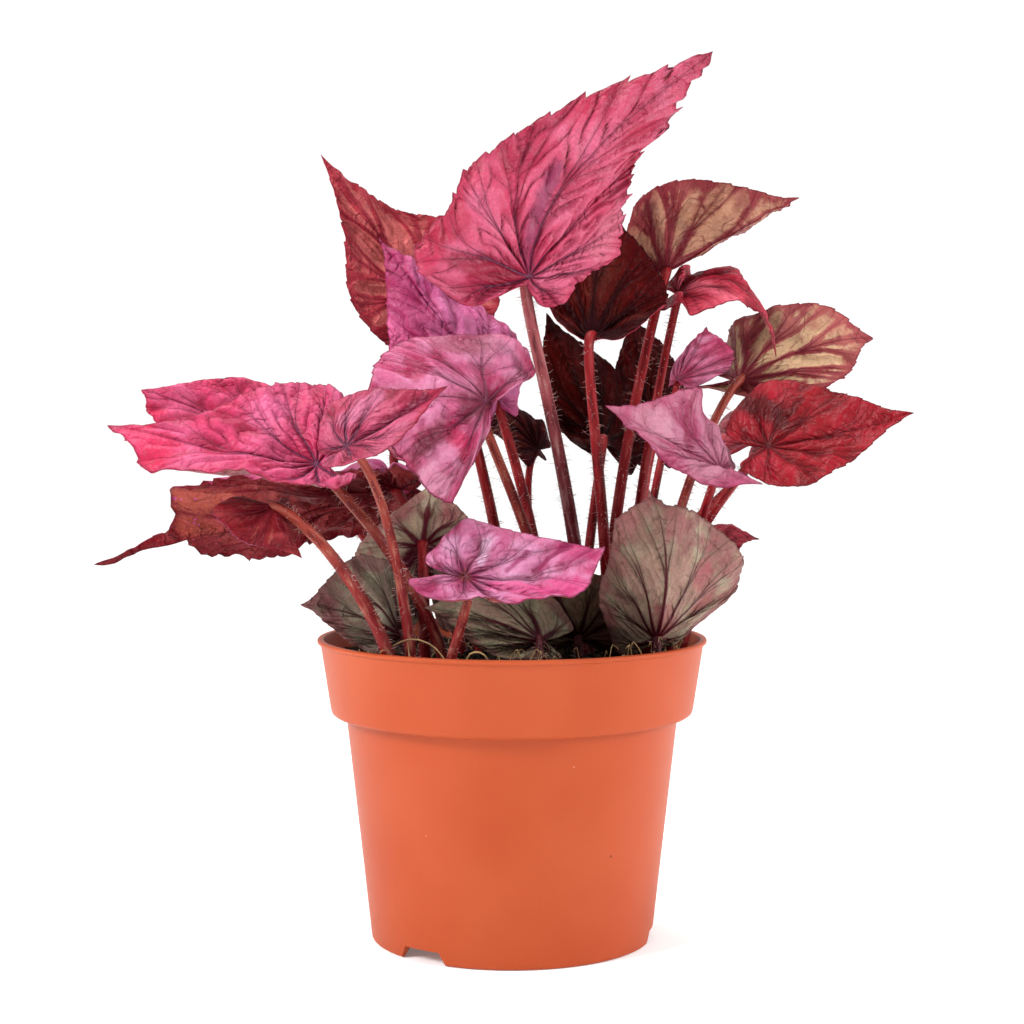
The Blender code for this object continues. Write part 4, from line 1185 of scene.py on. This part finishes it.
def dress(obj, slot, *nodes):
    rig.ride(obj, "root")
    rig.slot(obj, slot)
    if nodes:
        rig.replaces(obj, *nodes)


def corner_points(mesh):
    """The point that each corner of the mesh's faces stands on."""
    corners = np.empty(len(mesh.loops), dtype=np.int32)
    mesh.loops.foreach_get("vertex_index", corners)
    return corners


def add_uv(mesh, name, pairs):
    """pairs holds two numbers for each corner of the mesh, in its own order."""
    layer = mesh.uv_layers.new(name=name)
    layer.data.foreach_set("uv", np.asarray(pairs, dtype=np.float32).ravel())


def teeth(share, seed):
    """How far the toothed rim stands out or in. share runs from the slit to the tip on one side."""
    draw = random.Random(seed)
    sizes = np.array([draw.uniform(0.35, 1.0) for _ in range(TEETH + 2)])
    shifts = np.array([draw.uniform(-0.25, 0.25) for _ in range(TEETH + 2)])
    place = share * TEETH
    index = place.astype(int)
    place = place + shifts[index] * np.sin(np.pi * (place - index)) * 0.6
    part = place - np.floor(place)
    big = sizes[index] * (part**1.5 - 0.45)
    small = 0.28 * ((place * 3) % 1.0 - 0.5)
    return (big + small) * np.sin(np.pi * share) ** 0.35 * TOOTH_DEPTH


def fine_rim(samples, seed, drip):
    """The flat rim without its teeth, and the teeth, round from the slit by the left side to the tip."""
    share = np.linspace(0, 1, samples // 2 + 1)
    left = smooth_curve(HALF_OUTLINE, share)
    left[0], left[-1] = HALF_OUTLINE[0], HALF_OUTLINE[-1]
    rim = np.vstack([left, left[-2:0:-1] * (1, -1)])
    rim[:, 1] *= 1 - drip * smooth_step((rim[:, 0] - DRIP_START) / DRIP_LENGTH)
    return rim, np.concatenate([teeth(share, seed), teeth(share, seed + RIGHT_SIDE_SEED)[-2:0:-1]])


def vein_place(x, y, out, seed):
    """a at each point. The veins wander a little from straight lines."""
    angle = np.degrees(np.abs(np.arctan2(y, x)))
    a = np.interp(angle, VEIN_ANGLES, range(len(VEIN_ANGLES)))
    held = np.sin(np.pi * np.clip(a / 5, 0, 1)) ** 0.5
    return a + 0.13 * Waves(seed, 0.5)(x, y) * np.clip(out * 2, 0, 1) * held


def branch_place(x, y, a, u, out, length, seed):
    """How many small side veins lie between the junction and a point: they wander, and lean to the tip."""
    side = a * np.sign(y)
    start = 0.45 * np.sin(2.3 * side + seed) + 0.3 * np.sin(4.9 * side + 2 * seed)
    wander = 0.3 * Waves(seed + 5, 0.4)(x, y) + 0.14 * Waves(seed + 6, 0.13)(x, y)
    # Few reach in as far as the junction.
    reach = np.hypot(x, y) * (1 - BRANCH_LEAN * u) * length / BRANCH_GAP
    return reach + (start + wander) * np.clip(out * 2, 0, 1)


def flat_grid(name, leaf, seed):
    """x, y and out of the junction and of each ring from it to the rim, then the points in a ring."""
    samples, rings = GRID_SMALL if leaf.get("small") else GRID_LARGE
    rim, tooth = fine_rim(samples, seed, leaf.get("drip", 0.0))
    x, y, out = [np.zeros(1)], [np.zeros(1)], [np.zeros(1)]
    for share in np.linspace(FIRST_RING, 1, rings) ** 0.85:
        grown = share * (1 + BITES.get(name, BITE) * tooth * share**5)
        x.append(rim[:, 0] * grown)
        y.append(rim[:, 1] * grown)
        out.append(np.full(len(rim), share))
    return np.concatenate(x), np.concatenate(y), np.concatenate(out), len(rim)


def relief(x, y, out, length, seed):
    """How far the folds lift each point and how far its veins stand out, with its "veins" and "folds"."""
    a = vein_place(x, y, out, seed)
    u = np.abs(a - np.round(a))
    across = np.hypot(x, y) * VEIN_SPREAD * length
    off_vein = u * across
    off_fork = np.abs(u - FORK_SLOPE * (out - FORK_START)) * across + 4.0 * (out < FORK_START)
    branch = branch_place(x, y, a, u, out, length, seed)
    quilt = np.abs(np.sin(np.pi * branch)) ** 0.8
    size = length / FULL_LENGTH
    grow = np.clip(np.minimum(off_vein, off_fork) / 3.0, 0, 1) * np.clip(out * 4, 0, 1)
    lift = PUCKER * size * (quilt - 0.4) * grow
    lift = lift + FOLD * size * Waves(seed + 1, 0.22)(x, y) * np.clip(out * 2, 0, 1)
    lift = lift + RUFFLE * size * Waves(seed + 2, 0.42)(x, y) * out**4
    rib = np.exp(-((off_vein / RIB_WIDTH) ** 2)) + 0.7 * np.exp(-((off_fork / FORK_RIB_WIDTH) ** 2))
    rib = np.clip(rib, 0, 1) * (1.1 - out) * np.clip(out * 6, 0, 1)
    # bulge, the lift as a share, sets the painted shade and painted highlight on the folds.
    bulge = np.clip(0.5 + 0.5 * lift / (PUCKER * size), 0, 1)
    return lift, rib, np.column_stack([a, out]), np.column_stack([branch, bulge])


def sheet_faces(half, count):
    """Faces of a sheet's upper side of half points in rings of count, then of its lower side and its rim."""
    around = [(i, (i + 1) % count) for i in range(count)]
    upper = [(0, 1 + j, 1 + i) for i, j in around]
    for low in range(1, half - count, count):
        upper += [(low + i, low + j, low + count + j, low + count + i) for i, j in around]
    lower = [tuple(k + half for k in reversed(face)) for face in upper]
    outer = half - count
    return upper, lower, [(outer + i, outer + j, outer + j + half, outer + i + half) for i, j in around]


def make_leaf(name, leaf, seed, groups):
    blade = Blade(leaf)
    x, y, out, count = flat_grid(name, leaf, seed)
    normal = blade.normal(x, y, out)
    lift, rib, veins, folds = relief(x, y, out, blade.length, seed)
    middle = blade.place(x, y, out) + normal * lift[:, None]
    # Veins are grooves above and ribs below.
    thin = THICKNESS / 2 * (1 - 0.5 * out**12)
    upper = middle + normal * (thin - 0.5 * RIDGE * rib)[:, None]
    lower = middle - normal * (thin + RIDGE * rib)[:, None]
    half = len(upper)
    above, below, edge = sheet_faces(half, count)
    sheet = Parts(np.vstack([upper, lower]), above + below + edge)
    sheet.kinds = [0] * len(above) + [1] * len(below) + [0] * len(edge)
    faces = [face_material(name, face, blade.length, seed, groups) for face in ("upper", "lower")]
    obj = sheet.build("leaf_" + name, faces)
    corners = corner_points(obj.data) % half
    pairs = veins[corners]
    # The junction has no angle of its own, so each corner there takes its neighbour's.
    at_junction = np.where(corners == 0)[0]
    pairs[at_junction, 0] = pairs[at_junction - 1, 0]
    first = at_junction[at_junction % 3 == 0]
    pairs[first, 0] = pairs[first + 1, 0]
    add_uv(obj.data, "flat", np.column_stack([x, y])[corners])
    add_uv(obj.data, "veins", pairs)
    add_uv(obj.data, "folds", folds[corners])
    dress(obj, "leaf_" + leaf["colour"], "blade_" + name)


def stalk_path(leaf, shares):
    """Points of the stalk's middle line at shares of its length, and the blade's normal at the junction."""
    blade = Blade(leaf)
    up = blade.normal(np.zeros(1), np.zeros(1), np.zeros(1))[0]
    end = blade.junction - up * THICKNESS / 2
    foot = np.array([*leaf["foot"], SOIL_LEVEL - STALK_DEPTH], float)
    rise = np.linalg.norm(end - foot)
    first = np.array(leaf.get("bend", foot + (end - foot) * STALK_RISE), float)
    last = end + np.array(leaf.get("lead", -up * min(LEAD_SHARE * rise, LONGEST_LEAD)), float)
    t = np.linspace(0, 1, PATH_POINTS)[:, None]
    path = (1 - t) ** 3 * foot + 3 * t * (1 - t) ** 2 * first + 3 * t**2 * (1 - t) * last + t**3 * end
    return smooth_curve(path, shares), up


def headings(path):
    ahead = np.gradient(path, axis=0)
    return ahead / np.linalg.norm(ahead, axis=1)[:, None]


def ring(centre, radius, side, other, count):
    turns = [math.tau * k / count for k in range(count)]
    return [centre + radius * (math.cos(turn) * side + math.sin(turn) * other) for turn in turns]


def tube(path, radii, sides, last_normal=None):
    """Points and faces of a closed tube. Its last ring lies across last_normal, where that is given."""
    ahead = headings(path)
    side = np.cross(ahead[0], (0.0, 1.0, 0.0))
    if np.linalg.norm(side) < 1e-6:
        side = np.array((1.0, 0.0, 0.0))
    points = []
    for centre, forward, radius in zip(path, ahead, radii):
        side = unit(side - forward * side.dot(forward))
        points += ring(centre, radius, side, np.cross(forward, side), sides)
    points = np.array(points)
    if last_normal is not None:
        height = (points[-sides:] - path[-1]) @ last_normal
        lean = last_normal.dot(ahead[-1])
        points[-sides:] -= np.outer(height / max(lean, 0.5), ahead[-1])
    faces = []
    for start in range(0, (len(path) - 1) * sides, sides):
        for k in range(sides):
            a, b = start + k, start + (k + 1) % sides
            faces.append((a, b, b + sides, a + sides))
    faces.append(tuple(range(sides))[::-1])
    faces.append(tuple(range(len(points) - sides, len(points))))
    return points, faces


def hair(base, way, bend, length):
    """A curved, tapering hair of three sides."""
    middle = base + way * length * 0.5 + bend * length * 0.12
    tip = base + way * length * 0.93 + bend * length * 0.42
    side = unit(np.cross(way, bend))
    other = np.cross(way, side)
    points = ring(base - way * 0.1, HAIR_RADIUS, side, other, 3)
    points += ring(middle, HAIR_RADIUS * 0.62, side, other, 3)
    faces = [(k, 3 + k, 3 + (k + 1) % 3, (k + 1) % 3) for k in range(3)]
    faces += [(3 + k, 6, 3 + (k + 1) % 3) for k in range(3)]
    return [*points, tip], [*faces, (0, 1, 2)]


def make_stalk(name, leaf, seed, skin, hairs):
    shares = 1 - (1 - np.linspace(0, 1, STALK_RINGS)) ** 1.25
    path, up = stalk_path(leaf, shares)
    draw = random.Random(seed)
    # The stalk widens where it meets the blade.
    radii = leaf["stalk"] * (1.0 - STALK_TAPER * shares) * (1 + 0.18 * np.exp(-(((1 - shares) / 0.03) ** 2)))
    points, faces = tube(path, radii, STALK_SIDES, up)
    along = np.repeat(shares, STALK_SIDES)
    around = np.tile(np.arange(STALK_SIDES) / STALK_SIDES, STALK_RINGS)
    # Low ribs run along it, with a slow twist.
    centres = np.repeat(path, STALK_SIDES, axis=0)
    swell = 1 + RIB_DEPTH * np.cos(math.tau * (around * STALK_RIBS + along * 0.6 + draw.random()))
    stem = Parts(centres + (points - centres) * swell[:, None], faces)
    length = np.linalg.norm(np.diff(path, axis=0), axis=1).sum()
    ahead = headings(path)
    for _ in range(int(HAIRS_PER_MM * length)):
        share = draw.uniform(0.12, 0.99)
        index = int(np.searchsorted(shares, share))
        forward = ahead[index]
        radial = unit(np.cross(forward, np.array([draw.gauss(0, 1) for _ in range(3)])))
        way = unit(radial + forward * draw.uniform(-0.35, 0.45))
        bend = forward * draw.choice((-1, 1)) * 0.8 + np.array([draw.gauss(0, 0.5) for _ in range(3)])
        part = (share - shares[index - 1]) / (shares[index] - shares[index - 1])
        centre = path[index - 1] + (path[index] - path[index - 1]) * part
        root = centre + radial * radii[index] * 0.97
        stem.add(*hair(root, way, unit(bend), draw.uniform(*HAIR_LENGTH)), kind=1)
    obj = stem.build("stem_" + name, [skin, hairs])
    values = np.zeros((len(stem.points), 2))
    values[: len(along)] = np.column_stack([around, along])
    pairs = values[corner_points(obj.data)]
    # The last side closes the turn, so its far corners read 1 and not 0.
    wall_corners = 4 * STALK_SIDES * (STALK_RINGS - 1)
    turn = pairs[:wall_corners, 0].reshape(-1, 4)
    wraps = turn.max(axis=1) > 0.9
    turn[wraps] = np.where(turn[wraps] < 0.1, 1.0, turn[wraps])
    pairs[:wall_corners, 0] = turn.ravel()
    add_uv(obj.data, "skin", pairs)
    dress(obj, "stalk_red", "stalk_" + name)


def rounded(profile):
    """The profile with a small arc in place of each inner corner."""
    points = [profile[0]]
    for before, corner, after in zip(profile, profile[1:], profile[2:]):
        before, corner, after = (np.array(p, float) for p in (before, corner, after))
        back, ahead = before - corner, after - corner
        reach = min(CORNER_ROUNDING, 0.4 * np.linalg.norm(back), 0.4 * np.linalg.norm(ahead))
        start, end = corner + unit(back) * reach, corner + unit(ahead) * reach
        for t in (0.0, 0.5, 1.0):
            points.append(tuple((1 - t) ** 2 * start + 2 * t * (1 - t) * corner + t * t * end))
    return [*points, profile[-1]]


def turned(profile, steps):
    """Points and faces of a solid turned round the Z axis. The profile starts and ends on the axis."""
    points = [(0.0, 0.0, profile[0][1])]
    for radius, height in profile[1:-1]:
        points += [circle(radius, math.tau * k / steps, height) for k in range(steps)]
    last = len(points)
    points.append((0.0, 0.0, profile[-1][1]))
    faces = []
    for k in range(steps):
        j = (k + 1) % steps
        faces.append((0, 1 + j, 1 + k))
        for row in range(1, last - steps, steps):
            faces.append((row + k, row + j, row + j + steps, row + k + steps))
        faces.append((last, last - steps + k, last - steps + j))
    return points, faces


def pot_profile():
    """Up the outer side from the middle of the floor, over the lip and down the inside."""
    inner_top = BAND_TOP_RADIUS - WALL
    return [
        (0.0, 0.0),
        (FLOOR_RADIUS, 0.0),
        (FLOOR_RADIUS + 1.2, CHANNEL_HEIGHT),
        (CHANNEL_RADIUS, CHANNEL_HEIGHT),
        (FOOT_RADIUS - WALL, 0.0),
        (FOOT_RADIUS - 0.3, 0.0),
        (FOOT_RADIUS, 0.5),
        (BODY_TOP_RADIUS, STEP_HEIGHT),
        (BAND_FOOT_RADIUS - 1.6, STEP_HEIGHT + 0.1),
        (BAND_FOOT_RADIUS - 0.4, STEP_HEIGHT + 0.8),
        (BAND_FOOT_RADIUS, BAND_FOOT),
        (BAND_TOP_RADIUS, LIP_TOP - LIP_HEIGHT - 0.2),
        (LIP_RADIUS, LIP_TOP - LIP_HEIGHT),
        (LIP_RADIUS, LIP_TOP - 0.3),
        (LIP_RADIUS - 0.4, LIP_TOP),
        (inner_top + 0.3, LIP_TOP),
        (inner_top, LIP_TOP - 0.4),
        (BAND_FOOT_RADIUS - WALL, BAND_FOOT + 0.6),
        (BODY_TOP_RADIUS - WALL, STEP_HEIGHT + WALL),
        (FOOT_RADIUS - WALL + BODY_SLOPE * INNER_FOOT, CHANNEL_HEIGHT + FLOOR + 0.4),
        (FLOOR_RADIUS + 2.2, CHANNEL_HEIGHT + FLOOR),
        (FLOOR_RADIUS + 0.8, FLOOR),
        (0.0, FLOOR),
    ]


def notch(angle):
    """The block that cuts one notch in the foot."""
    near, far = CHANNEL_RADIUS - 1.5, FOOT_RADIUS + 4
    points = []
    for height, half_width in ((-1.0, NOTCH_HALF_WIDTH), (NOTCH_HEIGHT, NOTCH_TOP_HALF_WIDTH)):
        for radius, side in ((near, -1), (far, -1), (far, 1), (near, 1)):
            points.append(circle(radius, math.radians(angle + side * half_width - 90), height))
    faces = [(3, 2, 1, 0), (4, 5, 6, 7)]
    return points, faces + [(k, (k + 1) % 4, (k + 1) % 4 + 4, k + 4) for k in range(4)]


def drain(number):
    """The rod that cuts one hole in the raised channel of the floor."""
    turn = math.radians(DRAIN_TURN + 360 * number / DRAIN_HOLES)
    foot = np.array(circle((FLOOR_RADIUS + CHANNEL_RADIUS) / 2 + 0.6, turn, CHANNEL_HEIGHT - 2))
    path = np.array([foot, foot + (0, 0, 2), foot + (0, 0, 6)])
    return tube(path, [DRAIN_RADIUS] * len(path), DRAIN_SIDES)


def cut(target, solids):
    """Takes solids, given as points and faces, away from the target."""
    cutters = []
    for solid in solids:
        cutter = Parts(*solid).build("cutter")
        edit = bmesh.new()
        edit.from_mesh(cutter.data)
        bmesh.ops.recalc_face_normals(edit, faces=edit.faces)
        edit.to_mesh(cutter.data)
        edit.free()
        boolean = target.modifiers.new("cut", "BOOLEAN")
        boolean.operation = "DIFFERENCE"
        boolean.object = cutter
        cutters.append(cutter)
    evaluated = target.evaluated_get(bpy.context.evaluated_depsgraph_get())
    mesh = bpy.data.meshes.new_from_object(evaluated)
    target.modifiers.clear()
    target.data = mesh
    for cutter in cutters:
        bpy.data.objects.remove(cutter)


def make_pot():
    pot = Parts(*turned(rounded(pot_profile()), POT_STEPS)).build("nursery_pot", [pot_material()])
    cut(pot, [notch(angle) for angle in NOTCH_ANGLES] + [drain(number) for number in range(DRAIN_HOLES)])
    pot.data.shade_smooth()
    pot.data.set_sharp_from_angle(angle=SHARP_ANGLE)
    dress(pot, "pot_plastic", "pot")


def soil_height(x, y):
    waves = [size * Waves(40 + number, length)(x, y) for number, (length, size) in enumerate(SOIL_WAVES)]
    return SOIL_LEVEL + sum(waves)


def crumb_shape():
    """Points and faces of a round crumb of radius 1."""
    crumb = bmesh.new()
    bmesh.ops.create_icosphere(crumb, subdivisions=1, radius=1.0)
    points = np.array([v.co[:] for v in crumb.verts])
    faces = [[v.index for v in f.verts] for f in crumb.faces]
    crumb.free()
    return points, faces


def make_soil(material):
    inner_band = BAND_FOOT_RADIUS - WALL - SOIL_GAP
    share = (SOIL_LEVEL - BAND_FOOT) / (LIP_TOP - BAND_FOOT)
    top_radius = inner_band + share * (BAND_TOP_RADIUS - BAND_FOOT_RADIUS)
    floor_top = CHANNEL_HEIGHT + FLOOR + SOIL_GAP
    profile = [
        (0.0, FLOOR + SOIL_GAP),
        (FLOOR_RADIUS + 0.4, FLOOR + SOIL_GAP),
        (FLOOR_RADIUS + 1.8, floor_top),
        (FOOT_RADIUS - WALL - SOIL_GAP + BODY_SLOPE * INNER_FOOT, floor_top + 0.4),
        (BODY_TOP_RADIUS - WALL - SOIL_GAP, STEP_HEIGHT + WALL + SOIL_GAP),
        (inner_band, BAND_FOOT + 0.6 + SOIL_GAP),
    ]
    profile += [(radius, SOIL_LEVEL) for radius in np.linspace(top_radius, 1.0, SOIL_RINGS)]
    points, faces = turned([*profile, (0.0, SOIL_LEVEL)], SOIL_STEPS)
    points = np.array(points)
    top = points[:, 2] > SOIL_LEVEL - 0.1
    points[top, 2] = soil_height(points[top, 0], points[top, 1])
    soil = Parts(points, faces)
    shape, sides = crumb_shape()
    draw = random.Random(7)
    for _ in range(CRUMBS):
        radius, turn = (top_radius - 1.2) * math.sqrt(draw.random()), draw.uniform(0, math.tau)
        x, y, _ = circle(radius, turn, 0.0)
        size = draw.uniform(*CRUMB_SIZE) * draw.uniform(0.5, 1.0)
        scale = np.array([draw.uniform(0.6, 1.2) for _ in range(3)]) * size
        uneven = np.array([[draw.uniform(0.75, 1.2)] for _ in shape])
        height = float(soil_height(np.array([x]), np.array([y]))[0]) + 0.25 * size
        soil.add(shape * uneven * scale + (x, y, height), sides)
    dress(soil.build("peat", [material]), "peat", "soil")


def fibre(route, radius):
    """A thin tube that tapers towards its end."""
    shares = np.linspace(0, 1, FIBRE_POINTS)
    return tube(smooth_curve(route, shares), radius * (1 - 0.5 * shares**3), FIBRE_SIDES)


def tuft_route(draw):
    """One root that rises from the peat near the rim, leans aside and nods."""
    turn, radius = math.radians(draw.uniform(*TUFT_TURNS)), draw.uniform(*TUFT_REACH)
    lean = draw.choice((-1, 1)) * draw.uniform(0.4, 1)
    size, top = draw.uniform(*TUFT_LENGTH), draw.uniform(*TUFT_TOP)
    bend = 0.4 * SOIL_LEVEL + 0.6 * top
    route = []
    for along, height in ((0, SOIL_LEVEL - 1), (0.35, bend), (0.75, top), (1, top - 1.5)):
        reach = min(radius + draw.uniform(-1, 1), FIBRE_REACH + 0.5)
        route.append(circle(reach, turn + lean * along * size / radius, height))
    return route


def loose_route(draw):
    """One fibre that lies on the peat, arched a little."""
    radius, turn = FIBRE_REACH * math.sqrt(draw.uniform(0.1, 0.97)), draw.uniform(0, math.tau)
    x, y, _ = circle(radius, turn, 0.0)
    heading = draw.uniform(0, math.tau)
    size = draw.uniform(*LOOSE_LENGTH)
    route = []
    for k in range(4):
        route.append((x, y, SOIL_LEVEL + 0.4 + draw.uniform(0, 2.2) * math.sin(math.pi * k / 3)))
        heading += draw.uniform(-0.7, 0.7)
        x += size / 3 * math.cos(heading)
        y += size / 3 * math.sin(heading)
        reach = math.hypot(x, y)
        if reach > FIBRE_REACH:
            x, y = x * FIBRE_REACH / reach, y * FIBRE_REACH / reach
    return route


def make_straw(material):
    straw = Parts()
    for route, radius in FIBRES:
        straw.add(*fibre(route, radius))
    draw = random.Random(21)
    for make_route, count in ((tuft_route, TUFT_FIBRES), (loose_route, LOOSE_FIBRES)):
        for _ in range(count):
            route = make_route(draw)
            straw.add(*fibre(route, draw.uniform(*FIBRE_RADIUS)))
    dress(straw.build("straw", [material]), "peat")


def make_floor():
    half = FLOOR_SIZE / 2 / MM
    corners = [(x * half, y * half, -FLOOR_DROP) for x, y in ((-1, -1), (1, -1), (1, 1), (-1, 1))]
    floor = Parts(corners, [(0, 1, 2, 3)]).build("floor", [floor_material()])
    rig.stage(floor)


def add_camera():
    camera = bpy.data.objects.new("camera", bpy.data.cameras.new("camera"))
    camera.data.lens = CAMERA_LENS
    camera.location = CAMERA_PLACE
    camera.rotation_euler = (math.radians(CAMERA_TILT), 0.0, 0.0)
    bpy.context.scene.collection.objects.link(camera)
    bpy.context.scene.camera = camera


def add_sky():
    """A white sky, dimmer towards the front, though the camera sees all of it at its full strength."""
    world = bpy.data.worlds.new("studio")
    world.use_nodes = True
    n = Nodes(world.node_tree)
    background = n.tree.nodes["Background"]
    background.inputs["Color"].default_value = (1.0, 1.0, 1.0, 1.0)
    _, depth, _ = n.split(Value(n, n.new("TexCoord").outputs["Generated"]))
    seen = Value(n, n.new("LightPath").outputs["Is Camera Ray"])
    light = (n.step(depth, -1.0, 0.0) * (1 - FRONT_SKY) + FRONT_SKY) * SKY
    n.feed(background.inputs["Strength"], n.math("MAXIMUM", light, seen * SKY))
    bpy.context.scene.world = world


def add_lights():
    for name, place, size, power in LIGHTS:
        light = bpy.data.objects.new(name, bpy.data.lights.new(name, "AREA"))
        light.data.size = size
        light.data.energy = power
        light.location = place
        aim = np.array(AIM) - np.array(place)
        light.rotation_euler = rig.Vector(aim).to_track_quat("-Z", "Y").to_euler()
        bpy.context.scene.collection.objects.link(light)
    bpy.context.scene.view_settings.view_transform = "Standard"


def main():
    add_camera()
    add_sky()
    add_lights()
    make_floor()
    make_pot()
    make_soil(peat_material())
    make_straw(straw_material())
    skins = {kind: stalk_material(kind) for kind in STALKS}
    hairs = hair_material()
    groups = pattern_group(), streak_group(), ink_group()
    for seed, (name, leaf) in enumerate(LEAVES.items(), start=100):
        make_leaf(name, leaf, seed, groups)
        make_stalk(name, leaf, seed, skins[LOOKS[name][2]], hairs)


main()
NEW_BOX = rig.bounds()
with open("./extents.json", "w") as sizes:
    json.dump({"cad": [list(p) for p in CAD_BOX], "visual": [list(p) for p in NEW_BOX]}, sizes)
